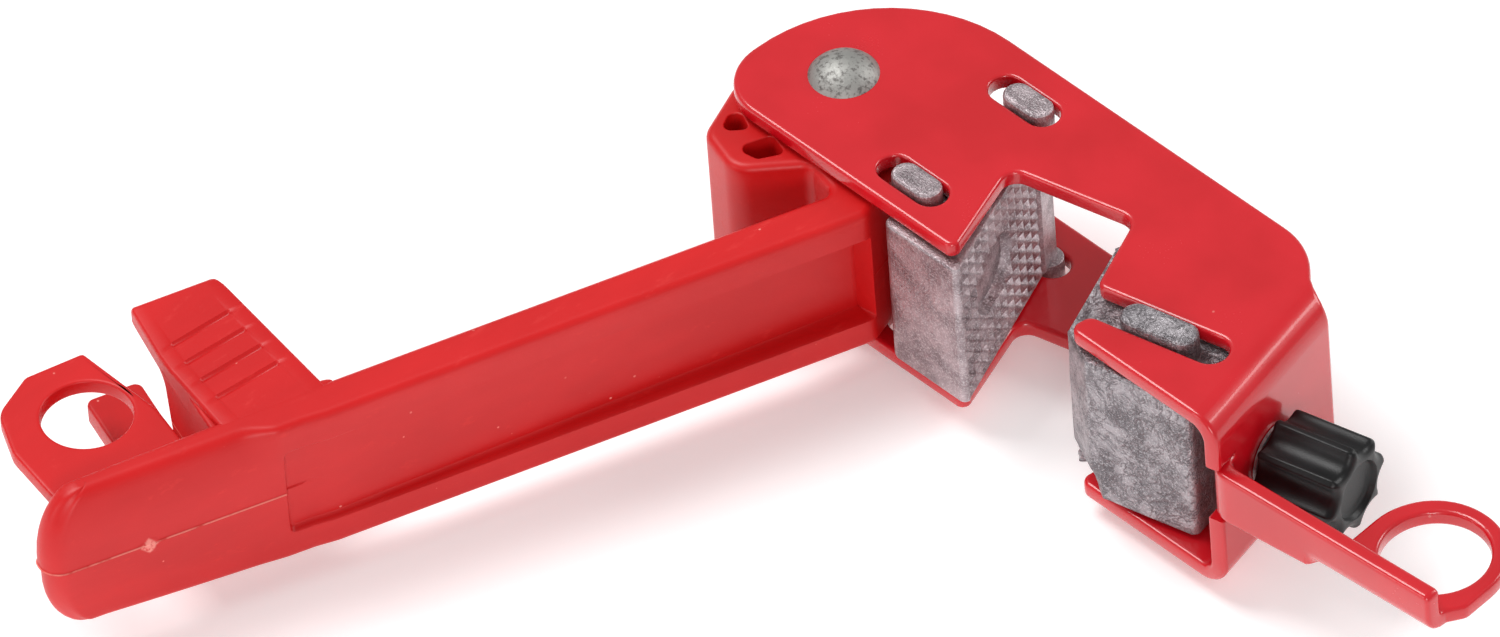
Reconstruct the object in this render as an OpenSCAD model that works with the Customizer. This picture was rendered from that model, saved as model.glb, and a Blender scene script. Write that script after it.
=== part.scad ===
// Clamp-on breaker lockout: a bent sheet frame, a cam lever, two toothed jaws and a thumb screw.
// The outlines below are laid out from the lever's pivot, with z = 0 under the lower plate.
// The finished part is moved so that its origin is the centre of the frame's padlock eye.

/* [Frame] */
// Thickness of the sheet
sheet = 3; // [2.5:0.5:3.5]
// Height over both plates
frame_h = 37; // [36:0.5:38]
// Front edge of the plates, measured from the pivot
front_y = -16; // [-16.5:0.5:-15.5]
// Back edge of the plates, measured from the pivot
back_y = 23.7; // [23:0.1:25]
// Outside radius of the bends between web and plates
bend_r = 5.3; // [4:0.1:6]
// Outer face of the web, measured from the pivot along the screw
web_out = 95.3; // [95:0.1:96]
// Angle of the screw, the web and the adjust slot to the frame's long edges
turn = 13; // [12:0.5:14]

/* [Padlock eye] */
// Eye centre along the frame
eye_x = 134.8; // [134:0.1:136]
// Eye centre across the frame
eye_y = -1; // [-2:0.1:0]
// Underside of the eye plate
eye_z = 18; // [17:0.5:18]
// Radius of the padlock hole in the eye
eye_hole_r = 9; // [8:0.1:9.5]

/* [Lever] */
// Angle of the open lever to the frame's long edges
open_angle = -108.6; // [-110:0.1:-106]
// Near face of the arm, measured from the pivot
arm_in = 19.9; // [19.5:0.1:20.5]
// Far face of the arm, measured from the pivot
arm_out = 27.2; // [26.5:0.1:27.5]
// Length from the pivot to the grip's tip
lever_len = 154; // [150:1:156]
// Radius of the padlock hole in the lever
lever_hole_r = 7.5; // [6.5:0.1:8]

/* [Jaws] */
// Angle of both toothed faces across the frame
face_slant = 23; // [22:0.5:24]
// Spacing of the teeth
tooth_pitch = 2.45; // [2.2:0.05:3]
// Depth of the teeth
tooth_deep = 1; // [0.6:0.1:1.2]
// Length of an adjust key
key_len = 14; // [13:0.5:15]
// Width of an adjust key
key_w = 5.5; // [5:0.1:5.6]

/* [Thumb screw] */
// Radius of the knob over its lobes
knob_r = 8.5; // [8:0.1:9]
// Length of the knob
knob_len = 15.4; // [14:0.1:16]
// Lobes round the knob
knob_lobes = 8; // [6:1:10]
// Radius of the spindle
spindle_r = 3; // [2.5:0.5:3]

/* [Rivet] */
// Radius of the rivet's shank
rivet_r = 4; // [3.5:0.5:4]
// Radius of the domed head
head_r = 5.85; // [5.5:0.05:6.5]

/* [Hidden] */
$fn = 64;

red = "firebrick";
cast = "darkgray";
steel = "silver";
eps = 0.01;
far = 120;
arc_step = 9;

mid_z = frame_h / 2;
inner_lo = sheet;
inner_hi = frame_h - sheet;
web_in = web_out - sheet;
eye_mid = eye_z + sheet / 2;

// Screw line and adjust slot
screw_y = -23.6;
slot_half = 3.1;
slot_end = 87.9;
key_x = 75.3;
strip_top = 26.5;
strip_low = 16;
strip_angle = 3.8;
strip_start = [101.3, front_y];
strip_end = 145.6;
web_back = 16.2;

// Guide bosses of the clamp jaw
boss_x = 26.7;
boss_front = -9.5;
boss_rear = 15.4;
boss_len = 9.7;
boss_w = 5;
boss_gap_left = 3.2;
boss_gap_right = 1.3;
boss_slot_w = 5.8;
boss_proud = 1;

// Lever levels
lever_lo = 4;
lever_hi = 33;
ring_lo = 27;
ring_hi = 29.8;
ring_at = [136.8, 5.8];
ring_outer_r = 13;
sleeve_out = 5.5;
cam_r = 24.1;
run = 0.05;

// Jaw levels
jaw_lo = 3.6;
jaw_hi = 33.4;
rear_r = 23.6;

// Spindle stations along the screw line
tip_x = 80.4;
ring_x = 81.2;
nut_flange = 0.8;
knob_x = 96.5;

function unit(v) = v / norm(v);
function heading(v) = atan2(v[1], v[0]);
// Round point b of the path a-b-c with radius r
function corner(a, b, c, r) =
    let (u = unit(a - b),
         v = unit(c - b),
         half = acos(u * v) / 2,
         centre = b + unit(u + v) * r / sin(half),
         first = heading(b + u * r / tan(half) - centre),
         last = heading(b + v * r / tan(half) - centre),
         sweep = (last - first + 540) % 360 - 180,
         n = max(2, ceil(abs(sweep) / arc_step)))
    [for (i = [0 : n]) centre + r * [cos(first + sweep * i / n), sin(first + sweep * i / n)]];
function xy(p) = [p[0], p[1]];
// Outline from [x, y, radius] corners
function outline(p) =
    let (n = len(p))
    [for (i = [0 : n - 1])
        each p[i][2] == 0
            ? [xy(p[i])]
            : corner(xy(p[(i + n - 1) % n]), xy(p[i]), xy(p[(i + 1) % n]), p[i][2])];
// Point on the screw's own axes, turned into the frame's axes
function turned(x, y) = [x * cos(turn) - y * sin(turn), x * sin(turn) + y * cos(turn)];
function with_r(p, r) = [p[0], p[1], r];
// Point on the strip's front face at a given x
function strip_y(x) = strip_start[1] + (x - strip_start[0]) * tan(strip_angle);
// Front face of the toothed side of the clamp jaw
function clamp_face(y) = [43.9 - (y + 17.2) * tan(face_slant), y];

module placed() translate([-eye_x, -eye_y, -eye_mid]) children();
module slab(z0, z1, pts) translate([0, 0, z0]) linear_extrude(z1 - z0) polygon(outline(pts));
module post(r, z0, z1) translate([0, 0, z0]) cylinder(r = r, h = z1 - z0);
module tube(r_out, r_in, z0, z1) difference() {
    post(r_out, z0, z1);
    post(r_in, z0 - eps, z1 + eps);
}
// Rod along the screw line between two stations
module rod(r, x0, x1)
    rotate([0, 0, turn]) translate([x0, screw_y, mid_z]) rotate([0, 90, 0]) cylinder(r = r, h = x1 - x0);
// Straight slot or key with round ends, centred on the origin
module oblong(length, width, z0, z1) {
    reach = (length - width) / 2;
    for (s = [-1, 1]) translate([s * reach, 0, 0]) post(width / 2, z0, z1);
    translate([-reach, -width / 2, z0]) cube([2 * reach, width, z1 - z0]);
}
// Low dome standing on z = 0
module dome(r, h) {
    ball = (r * r + h * h) / (2 * h);
    intersection() {
        translate([0, 0, h - ball]) sphere(r = ball);
        post(r + 1, 0, h + 1);
    }
}
module on_lever() rotate([0, 0, open_angle]) children();
module on_screw() rotate([0, 0, turn]) translate([0, screw_y, 0]) children();

// ---- Frame ----
// Plan of both plates, with the toggle mouth and the open end of the adjust slot
plate_plan = [
    [-15, front_y, 10],
    [41.9, front_y, 1.5],
    [35, 3, 2.6],
    [58, 8.6, 3],
    with_r(turned(61.4, screw_y + slot_half), 1.8),
    with_r(turned(slot_end, screw_y + slot_half), slot_half - eps),
    with_r(turned(slot_end, screw_y - slot_half), slot_half - eps),
    with_r(turned(64.1, screw_y - slot_half), 2),
    [67.8, front_y, 1.9],
    [104, front_y, 0],
    [104, web_back, 0],
    [90.4, web_back, 8],
    [82.5, back_y, 14],
    [-15, back_y, 28.8],
];
// Bent section across the web
module channel() {
    outer = [[-far, 0, 0], [web_out, 0, bend_r], [web_out, frame_h, bend_r], [-far, frame_h, 0]];
    inner_r = bend_r - sheet;
    inner = [[-far - 1, inner_lo, 0], [web_in, inner_lo, inner_r],
             [web_in, inner_hi, inner_r], [-far - 1, inner_hi, 0]];
    rotate([0, 0, turn]) rotate([90, 0, 0]) translate([0, 0, -far]) linear_extrude(2 * far)
        difference() {
            polygon(outline(outer));
            polygon(outline(inner));
        }
}
// Strip that turns out of the web's front edge
module strip() {
    back = sheet / cos(strip_angle);
    web_line = function (x0, y) (x0 - y * sin(turn)) / cos(turn);
    root_y = -9;
    heel = strip_y(web_line(web_out, front_y + sheet)) + back;
    plan = [
        [web_line(web_in, root_y), root_y, 0],
        [web_line(web_in, front_y), strip_y(web_line(web_in, front_y)), bend_r - 0.5],
        [strip_end, strip_y(strip_end), 0.5],
        [strip_end, strip_y(strip_end) + back, 0.5],
        [web_line(web_out, heel), heel, 2],
        [web_line(web_out, root_y), root_y, 0],
    ];
    taper = [[104, strip_low - 1], [104, strip_low], [122, eye_z], [160, eye_z], [160, strip_low - 1]];
    difference() {
        slab(strip_low, strip_top, plan);
        rotate([90, 0, 0]) translate([0, 0, -far]) linear_extrude(2 * far) polygon(taper);
    }
}
module eye_plate() {
    half_w = 12.4;
    top_y = eye_y + 11.8;
    plan = [
        [eye_x - half_w, strip_y(eye_x - half_w), 0],
        [eye_x - half_w, top_y, half_w - 0.4],
        [eye_x + half_w, top_y, half_w - 0.4],
        [eye_x + half_w, -9.5, 3],
        [strip_end, strip_y(strip_end), 0],
    ];
    slab(eye_z, eye_z + sheet, plan);
}
module frame() color(red) placed() difference() {
    union() {
        difference() {
            intersection() {
                channel();
                slab(-1, frame_h + 1, plate_plan);
            }
            translate([88, -40, strip_low]) cube([40, 31, strip_top - strip_low]);
        }
        strip();
        eye_plate();
    }
    post(rivet_r, -1, frame_h + 1);
    for (y = [boss_front, boss_rear])
        translate([boss_x + (boss_gap_right - boss_gap_left) / 2, y, 0])
            oblong(boss_len + boss_gap_left + boss_gap_right, boss_slot_w, -1, frame_h + 1);
    rod(nut_r, web_in - 1, web_out + 1);
    translate([eye_x, eye_y, 0]) post(eye_hole_r, eye_z - 1, eye_z + sheet + 1);
}

// ---- Pivot ----
module pivot_rivet() color(steel) placed() {
    tail_h = 2.4;
    translate([0, 0, frame_h]) dome(head_r, 3);
    post(rivet_r, -washer_t, frame_h + eps);
    translate([0, 0, -washer_t]) mirror([0, 0, 1]) dome(head_r, tail_h);
}
washer_t = 1.2;
module rivet_washer() color(steel) placed() tube(8, rivet_r, -washer_t, 0);
module pivot_sleeve() color(steel) placed() tube(sleeve_out, rivet_r, inner_lo, inner_hi);
module spacer(z0) tube(10, sleeve_out + run, z0, z0 + 0.8);
module spacer_upper() color(steel) placed() spacer(lever_hi + 0.1);
module spacer_lower() color(steel) placed() spacer(inner_lo + 0.1);

// ---- Lever ----
// Plan of the boss, cam nose, arm and grip, on the lever's own axes
lever_plan = [
    [15, -10.2, 3],
    [cam_r, -2.4, 4],
    [cam_r - 0.4, 7.6, 5],
    [12.2, 12.4, 2.5],
    [11.4, arm_in, 2],
    [104, arm_in, 0],
    [lever_len - 0.5, arm_in + 0.8, 2.2],
    [lever_len, arm_out - 0.8, 2.8],
    [108, arm_out - 0.4, 0],
    [104, arm_out, 0],
    [9, arm_out, 3],
    [3, 22.8, 3],
    [-9, 9, 0],
    [2, -9, 0],
];
boss_r = 16.3;
grip_in = 22;
// Plan of the padlock ring plate
ring_plan = [
    [125.5, grip_in, 0],
    [126.3, 10, 4],
    [131.6, -7.3, 0.6],
    [142, -6.7, 2],
    [ring_at[0] + ring_outer_r - 0.6, -1.2, 5],
    [ring_at[0] + ring_outer_r + 1, 8, 6],
    [ring_at[0] + ring_outer_r - 0.8, grip_in, 0],
];
tab_tip = -10.4;
// Plan of the thumb tab
tab_plan = [
    [101.4, grip_in, 0],
    [106.6, tab_tip, 3],
    [121.8, tab_tip, 1.2],
    [122.4, 4, 0],
    [120.4, grip_in, 0],
];
// Side view of the thumb tab, thick at the root
tab_side = [
    [grip_in, lever_hi, 0],
    [tab_tip, lever_hi, 1.2],
    [tab_tip, 29.4, 1],
    [5, 29.2, 8],
    [17.5, 24, 2],
    [18.5, 12, 2],
    [grip_in, 9, 0],
];
// Side view of the wall under the tab's outer end, which hides the knob
tab_skirt = [
    [grip_in, lever_hi - 1, 0],
    [-9, lever_hi - 1, 0],
    [-9, 29.9, 0],
    [-2.4, 28.4, 8],
    [1.2, 26, 3],
    [2.7, 17, 4],
    [6, 10.5, 3],
    [grip_in, 9, 0],
];
skirt_from = 119.5;
skirt_to = 121.5;
channel_lo = 9.6;
channel_hi = 27.3;
guard_from = 121.3;
guard_to = 131;
module lever_body() {
    slab(lever_lo, lever_hi, lever_plan);
    post(boss_r, lever_lo, lever_hi);
    slab(ring_lo, ring_hi, ring_plan);
    intersection() {
        slab(lever_lo, lever_hi, tab_plan);
        translate([95, 0, 0]) rotate([90, 0, 90]) linear_extrude(35) polygon(outline(tab_side));
    }
    translate([skirt_from, 0, 0]) rotate([90, 0, 90]) linear_extrude(skirt_to - skirt_from)
        polygon(outline(tab_skirt));
    translate([guard_from, tab_tip, 12]) cube([guard_to - guard_from, grip_in - tab_tip, 4]);
    translate([124.7, 8, lever_lo]) cube([3, grip_in - 8, 9]);
}
module lever_cuts() {
    deep_root = 3.8;
    deep_grip = 1.2;
    inner_deep = 2.2;
    groove = [13.5, 0.7];
    groove_slant = 10.8;
    post(sleeve_out + run, 0, frame_h);
    slab(channel_lo, channel_hi, [[14, arm_out - deep_root, 0], [112, arm_out - deep_grip, 0],
                                  [112, arm_out + 1, 0], [14, arm_out + 1, 0]]);
    slab(channel_lo, channel_hi, [[16, arm_in - 1, 0], [98, arm_in - 1, 0],
                                  [98, arm_in + inner_deep, 0], [16, arm_in + inner_deep, 0]]);
    for (z = [lever_lo - 1, lever_hi - 10]) {
        slab(z, z + 11, [[16.4, -6.6, 1.4], [21.4, -1.4, 1.2], [17.2, 0.4, 0.8]]);
        slab(z, z + 11, [[14.6, 3.4, 1], [21.2, 3.2, 1.4], [19.4, 8, 1.2], [14.4, 8.8, 1]]);
    }
    translate([ring_at[0], ring_at[1], 0]) post(lever_hole_r, ring_lo - 1, ring_hi + 1);
    for (i = [0 : 3])
        translate([112, -0.5 + 4.75 * i, lever_hi - 0.5]) rotate([0, 0, groove_slant])
            translate([-groove[0] / 2, 0, 0]) cube([groove[0], groove[1], 1]);
}
module lever() color(red) placed() on_lever() difference() {
    lever_body();
    lever_cuts();
}

// ---- Jaws ----
// V grooves that leave rows of teeth on a face along +y, with the solid on its +x side
module tooth_rows(length) {
    rows = floor((jaw_hi - jaw_lo) / tooth_pitch);
    first = (jaw_lo + jaw_hi - rows * tooth_pitch) / 2;
    v = [[-eps, -tooth_pitch / 2 + 0.15], [tooth_deep, 0], [-eps, tooth_pitch / 2 - 0.15]];
    for (i = [0 : rows])
        translate([0, length, first + i * tooth_pitch]) rotate([90, 0, 0]) linear_extrude(length) polygon(v);
}
rear_from = -22;
rear_to = 28;
rear_arc = [for (i = [0 : 8])
    let (a = rear_to - (rear_to - rear_from) * i / 8) [rear_r * cos(a), rear_r * sin(a), 0]];
clamp_plan = concat(rear_arc, [
    [25.8, -13.2, 2],
    [26, -17.2, 2],
    with_r(clamp_face(-17.2), 1),
    with_r(clamp_face(17.4), 1),
    [21.6, 17.4, 2],
]);
module clamp_jaw() color(cast) placed() {
    centre = clamp_face(-17.2) + 14.7 * [-sin(face_slant), cos(face_slant)];
    difference() {
        slab(jaw_lo, jaw_hi, clamp_plan);
        translate(clamp_face(-17.2)) rotate([0, 0, face_slant]) mirror([1, 0, 0]) tooth_rows(33);
        translate([centre[0], centre[1], 20]) rotate([0, 0, face_slant]) rotate([0, -90, 0])
            rotate([0, 0, 90]) oblong(15, 12.6, -1, 2);
    }
    for (y = [boss_front, boss_rear]) translate([boss_x, y, 0]) {
        oblong(boss_len, boss_w, jaw_hi - eps, frame_h + boss_proud);
        oblong(boss_len, boss_w, -boss_proud, jaw_lo + eps);
    }
}

// Plan of the adjust jaw on the screw's axes, with y = 0 on the screw line
jaw_back = 16;
jaw_front = -9.8;
jaw_rear = 86.8;
adjust_slope = tan(face_slant - turn);
function adjust_face(y) = [59.6 - y * adjust_slope, y];
adjust_plan = [
    with_r(adjust_face(jaw_back), 1),
    with_r(adjust_face(-4.8), 1.5),
    [67, jaw_front, 2],
    [jaw_rear, jaw_front, 1.5],
    [jaw_rear, jaw_back, 3],
];
module adjust_jaw() color(cast) placed() difference() {
    on_screw() {
        difference() {
            slab(jaw_lo, jaw_hi, adjust_plan);
            translate(adjust_face(-4.8)) rotate([0, 0, face_slant - turn]) tooth_rows(21);
        }
        translate([key_x, 0, 0]) oblong(key_len, key_w, jaw_hi - eps, frame_h + boss_proud);
        translate([key_x, 0, 0]) oblong(key_len, key_w, -boss_proud, jaw_lo + eps);
    }
    rod(spindle_r + run, tip_x - 1, jaw_rear + 1);
    rod(5.2, ring_x - 0.5, ring_x + 1.7);
}

// ---- Thumb screw ----
nut_r = 5;
module web_nut() color(steel) placed() difference() {
    union() {
        rod(nut_r, web_in, web_out);
        rod(nut_r + 1.8, web_out, web_out + nut_flange);
    }
    rod(spindle_r + run, web_in - 1, web_out + 2);
}
module screw_spindle() color(steel) placed() rod(spindle_r, tip_x, knob_x + 10);
module retaining_ring() color(steel) placed() difference() {
    rod(4.8, ring_x, ring_x + 1.2);
    rod(spindle_r, ring_x - 1, ring_x + 3);
}
module thumb_knob() color("dimgray") placed() difference() {
    rod(knob_r, knob_x, knob_x + knob_len);
    rod(spindle_r, knob_x - 1, knob_x + 10);
    rod(5.4, knob_x + knob_len - 1.2, knob_x + knob_len + 1);
    for (i = [0 : knob_lobes - 1]) {
        a = (i + 0.5) * 360 / knob_lobes;
        on_screw() translate([knob_x - 1, 9.9 * cos(a), mid_z + 9.9 * sin(a)]) rotate([0, 90, 0])
            cylinder(r = 2.4, h = knob_len + 2);
    }
}

frame();
web_nut();
pivot_rivet();
rivet_washer();
pivot_sleeve();
lever();
spacer_upper();
spacer_lower();
clamp_jaw();
adjust_jaw();
screw_spindle();
thumb_knob();
retaining_ring();
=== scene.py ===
"""Clamp-on breaker lockout: meshes, finishes, floor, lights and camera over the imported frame."""
import logging
import math
from dataclasses import dataclass
from enum import Enum
from typing import Callable, Iterable, Optional, Sequence, Union

import bmesh
import bpy
import numpy as np
from mathutils import Matrix, Vector
from mathutils.geometry import tessellate_polygon


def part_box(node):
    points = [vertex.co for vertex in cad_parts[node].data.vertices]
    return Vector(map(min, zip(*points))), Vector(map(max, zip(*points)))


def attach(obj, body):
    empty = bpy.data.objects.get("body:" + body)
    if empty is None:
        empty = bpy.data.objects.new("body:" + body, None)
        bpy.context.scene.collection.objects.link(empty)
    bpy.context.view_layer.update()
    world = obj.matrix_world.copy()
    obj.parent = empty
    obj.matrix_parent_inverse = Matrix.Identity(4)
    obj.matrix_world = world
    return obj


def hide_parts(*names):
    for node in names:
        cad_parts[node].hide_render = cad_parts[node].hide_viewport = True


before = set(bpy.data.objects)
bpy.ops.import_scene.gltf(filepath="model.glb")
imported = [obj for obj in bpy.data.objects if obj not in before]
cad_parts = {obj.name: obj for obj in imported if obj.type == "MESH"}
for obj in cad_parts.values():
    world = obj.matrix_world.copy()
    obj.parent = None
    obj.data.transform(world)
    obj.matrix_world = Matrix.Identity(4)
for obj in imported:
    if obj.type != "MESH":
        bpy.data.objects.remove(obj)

log = logging.getLogger("lockout")
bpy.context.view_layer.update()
MM = 0.001
LOOK = "_look"
Loop = np.ndarray
Points = np.ndarray
Number = Union[int, float]


# ---------------------------------------------------------------- plan geometry, in millimetres
def rounded(corners: Sequence[Sequence[float]], step: float = 7.5) -> Loop:
    """Outline through corners, each [x, y, radius] rounded by an arc tangent to both its sides.

    Args:
        corners: The corners in order, with radius 0 where the corner stays sharp.
        step: Largest turn between two points of an arc, in degrees.
    Returns:
        The outline's points, shape (n, 2).
    """
    table = np.array(corners, float)
    points = []
    for before, (x, y, r), after in zip(np.roll(table, 1, 0), table, np.roll(table, -1, 0)):
        here = np.array([x, y])
        if r == 0:
            points.append(here[None])
            continue
        back = (before[:2] - here) / np.linalg.norm(before[:2] - here)
        on = (after[:2] - here) / np.linalg.norm(after[:2] - here)
        half = math.acos(float(np.clip(back @ on, -1, 1))) / 2
        centre = here + (back + on) / np.linalg.norm(back + on) * r / math.sin(half)
        first = here + back * r / math.tan(half) - centre
        last = here + on * r / math.tan(half) - centre
        start = math.atan2(first[1], first[0])
        sweep = (math.atan2(last[1], last[0]) - start + 3 * math.pi) % (2 * math.pi) - math.pi
        count = max(2, math.ceil(abs(math.degrees(sweep)) / step)) + 1
        turn = start + sweep * np.linspace(0, 1, count)
        points.append(centre + r * np.stack([np.cos(turn), np.sin(turn)], 1))
    return np.concatenate(points)


def circle(x: float, y: float, r: float, count: int = 64) -> Loop:
    """Circle of count points about (x, y)."""
    turn = np.linspace(0, 2 * math.pi, count, endpoint=False)
    return np.stack([x + r * np.cos(turn), y + r * np.sin(turn)], 1)


def oblong(x: float, y: float, length: float, width: float, grow: float = 0.0) -> Loop:
    """Slot or key outline along x with full round ends, grown by grow all round.

    Args:
        x: Middle.
        y: Middle.
        length: Length over the ends.
        width: Width.
        grow: Amount added all round.
    Returns:
        The outline's points, shape (n, 2).
    """
    h, w = length / 2 + grow, width / 2 + grow
    r = w - 0.01
    return rounded([[x - h, y - w, r], [x + h, y - w, r], [x + h, y + w, r], [x - h, y + w, r]], 15)


def area(loop: Loop) -> float:
    """Signed area of an outline, positive when it runs anticlockwise."""
    x, y = loop.T
    return float((x * np.roll(y, -1) - np.roll(x, -1) * y).sum() / 2)


def wound(loop: Loop, anticlockwise: bool) -> Loop:
    """The outline, turned round where needed so that it runs the asked way."""
    return loop if (area(loop) > 0) == anticlockwise else loop[::-1]


def miters(loop: Loop) -> Points:
    """Per-point vectors to the right of the path that move both neighbouring sides by one unit.

    Args:
        loop: Outline, shape (n, 2).
    Returns:
        One vector for each point.
    """
    side = np.roll(loop, -1, 0) - loop
    side /= np.linalg.norm(side, axis=1)[:, None]
    right = np.stack([side[:, 1], -side[:, 0]], 1)
    before = np.roll(right, 1, 0)
    return (right + before) / (1 + (right * before).sum(1))[:, None]


def turned(points: Points, degrees: float) -> Points:
    """Points turned about z, shape (n, 2) or (n, 3).

    Args:
        points: Points, of which only x and y turn.
        degrees: Angle, anticlockwise.
    Returns:
        The turned points.
    """
    a = math.radians(degrees)
    out = np.array(points, float)
    out[:, 0] = points[:, 0] * math.cos(a) - points[:, 1] * math.sin(a)
    out[:, 1] = points[:, 0] * math.sin(a) + points[:, 1] * math.cos(a)
    return out


def smoothstep(x: np.ndarray, low: float, high: float) -> np.ndarray:
    """0 below low, 1 above high and 3t^2 - 2t^3 between, with t the place between them."""
    t = np.clip((x - low) / (high - low), 0, 1)
    return t * t * (3 - 2 * t)


def ripple(a: np.ndarray, b: np.ndarray, size: float, seed: float = 0.0) -> np.ndarray:
    """Smooth uneven field from -1 to 1: the mean of five sines of unlike directions and lengths.

    Args:
        a: First coordinate.
        b: Second coordinate.
        size: About the distance between crests.
        seed: Shift of the pattern.
    Returns:
        The field at each place.
    """
    total = np.zeros(np.broadcast(a, b).shape)
    for k in range(5):
        way = 2.4 * k + seed
        reach = size * (1 + 0.37 * k) / 2
        total = total + np.sin((a * math.cos(way) + b * math.sin(way)) / reach + 1.7 * k + seed)
    return total / 5


@dataclass
class Hole:
    """Opening or pocket in a slab. depth None goes through; > 0 is cut from the top, < 0 from below."""

    loop: Loop
    depth: Optional[float] = None
    edge: float = 0.4


class Surface:
    """Faces gathered as arrays until they become one mesh."""

    def __init__(self) -> None:
        """Start with nothing."""
        self.parts: list[Points] = []
        self.faces: list[tuple[int, ...]] = []
        self.count = 0

    def points(self, pts: Points) -> int:
        """Add points, shape (n, 3), and return the index of the first.

        Args:
            pts: Points, shape (n, 3).
        Returns:
            Index of the first.
        """
        self.parts.append(np.asarray(pts, float).reshape(-1, 3))
        first = self.count
        self.count += len(self.parts[-1])
        return first

    def grid(self, pts: Points, around: bool = False) -> int:
        """Add a surface sampled as rows of points.

        Args:
            pts: Shape (rows, columns, 3). Faces look along (column step) x (row step).
            around: Whether the last column joins the first.
        Returns:
            Index of the first point.
        """
        rows, cols = pts.shape[:2]
        first = self.points(pts)
        c = np.arange(cols if around else cols - 1)
        j, i = np.meshgrid(np.arange(rows - 1), c, indexing="ij")
        n = (i + 1) % cols
        quads = np.stack([j * cols + i, j * cols + n, (j + 1) * cols + n, (j + 1) * cols + i], -1)
        self.faces += [tuple(q) for q in (quads.reshape(-1, 4) + first).tolist()]
        return first

    def cap(self, loops: Sequence[tuple[int, Points]], up: bool) -> None:
        """Fill flat outlines that are already points of this surface.

        Args:
            loops: (first index, points as (n, 2)) of the outer outline, then of its holes.
            up: Whether the filled face looks towards +third axis.
        """
        flat = [[Vector((float(x), float(y), 0.0)) for x, y in pts] for _, pts in loops]
        index = np.concatenate([first + np.arange(len(pts)) for first, pts in loops])
        where = np.concatenate([pts for _, pts in loops])
        tris = np.array(tessellate_polygon(flat))
        a, b, c = where[tris[:, 0]], where[tris[:, 1]], where[tris[:, 2]]
        size = (b - a)[:, 0] * (c - a)[:, 1] - (b - a)[:, 1] * (c - a)[:, 0]
        tris = tris[np.abs(size) > 1e-9]
        size = size[np.abs(size) > 1e-9]
        wrong = (size > 0) != up
        tris[wrong] = tris[wrong][:, ::-1]
        self.faces += [tuple(t) for t in index[tris].tolist()]

    def slab(self, outer: Loop, low: float, high: float, edge: float,
             holes: Iterable[Hole] = (), top_edge: Optional[float] = None, margin: float = 0.3) -> None:
        """Flat solid with rounded edges: a quarter-round profile carried along every outline.

        Args:
            outer: The outline. Points run along it and the profile steps inwards by its miters.
            low: Level of the lower face.
            high: Level of the upper face.
            edge: Radius of the edges.
            holes: Openings and pockets.
            top_edge: Radius of the upper outer edge where it differs.
            margin: Width of the flat band inside each edge, which keeps the shading of the face flat.
        """
        outer = wound(outer, True)
        top = edge if top_edge is None else top_edge
        steps = np.radians(np.linspace(0, 90, 4))

        def round_up(r: float, z: float) -> list[tuple[float, float]]:
            """Quarter round from the flat of the lower face out to the side."""
            return [(r + margin, z)] + [(r - r * math.sin(s), z + r - r * math.cos(s)) for s in steps]

        def round_off(r: float, z: float) -> list[tuple[float, float]]:
            """Quarter round from the side in to the flat of the upper face."""
            return [(r - r * math.cos(s), z - r + r * math.sin(s)) for s in steps] + [(r + margin, z)]

        def carried(loop: Loop, profile: list[tuple[float, float]]) -> tuple[int, Points]:
            """Carry a profile round an outline.

            Args:
                loop: The outline.
                profile: The (distance inwards, level) pairs.
            Returns:
                Index of the first point, and the rings.
            """
            way = miters(loop)
            rings = np.array([np.column_stack([loop - d * way, np.full(len(loop), z)]) for d, z in profile])
            return self.grid(rings, around=True), rings

        def ends(first: int, rings: Points) -> tuple[tuple[int, Points], tuple[int, Points]]:
            """The first and last ring, each with its first index."""
            last = first + (len(rings) - 1) * rings.shape[1]
            return (first, rings[0][:, :2]), (last, rings[-1][:, :2])

        low_end, high_end = ends(*carried(outer, round_up(edge, low) + round_off(top, high)))
        bottoms, tops = [low_end], [high_end]
        for hole in holes:
            loop = wound(hole.loop, False)
            if hole.depth is None:
                a, b = ends(*carried(loop, round_up(hole.edge, low) + round_off(hole.edge, high)))
                bottoms.append(a)
                tops.append(b)
                continue
            r = 0.5
            if hole.depth > 0:
                floor = high - hole.depth
                toe = [(-r - margin, floor)]
                toe += [(-r + r * math.sin(s), floor + r - r * math.cos(s)) for s in steps]
                a, b = ends(*carried(loop, toe + round_off(hole.edge, high)))
                self.cap([a], True)
                tops.append(b)
            else:
                floor = low - hole.depth
                toe = [(-r + r * math.cos(s), floor - r + r * math.sin(s)) for s in steps]
                toe += [(-r - margin, floor)]
                a, b = ends(*carried(loop, round_up(hole.edge, low) + toe))
                self.cap([b], False)
                bottoms.append(a)
        self.cap(bottoms, False)
        self.cap(tops, True)

    def lathe(self, profile: Sequence[tuple[float, float]], count: int = 72) -> None:
        """Turned solid about the third axis: the (radius, height) profile swept round a full circle.

        Args:
            profile: The (radius, height) pairs, in order.
            count: Points round the circle.
        """
        turn = np.linspace(0, 2 * math.pi, count, endpoint=False)
        rows = np.array([[np.full(count, z), r * np.cos(turn), r * np.sin(turn)] for r, z in profile])
        self.grid(np.stack([rows[:, 1], rows[:, 2], rows[:, 0]], -1), around=True)

    def warp(self, move: Callable[[Points], Points]) -> "Surface":
        """Move all points so far by a function of whole arrays, and return this surface.

        Args:
            move: Function from old to new points, shape (n, 3).
        Returns:
            This surface.
        """
        pts = move(np.concatenate(self.parts))
        self.parts = [pts]
        return self

    def join(self, other: "Surface") -> "Surface":
        """Take in another surface's faces, and return this one.

        Args:
            other: The surface to take in.
        Returns:
            This surface.
        """
        first = self.points(np.concatenate(other.parts))
        self.faces += [tuple(first + k for k in f) for f in other.faces]
        return self

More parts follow.
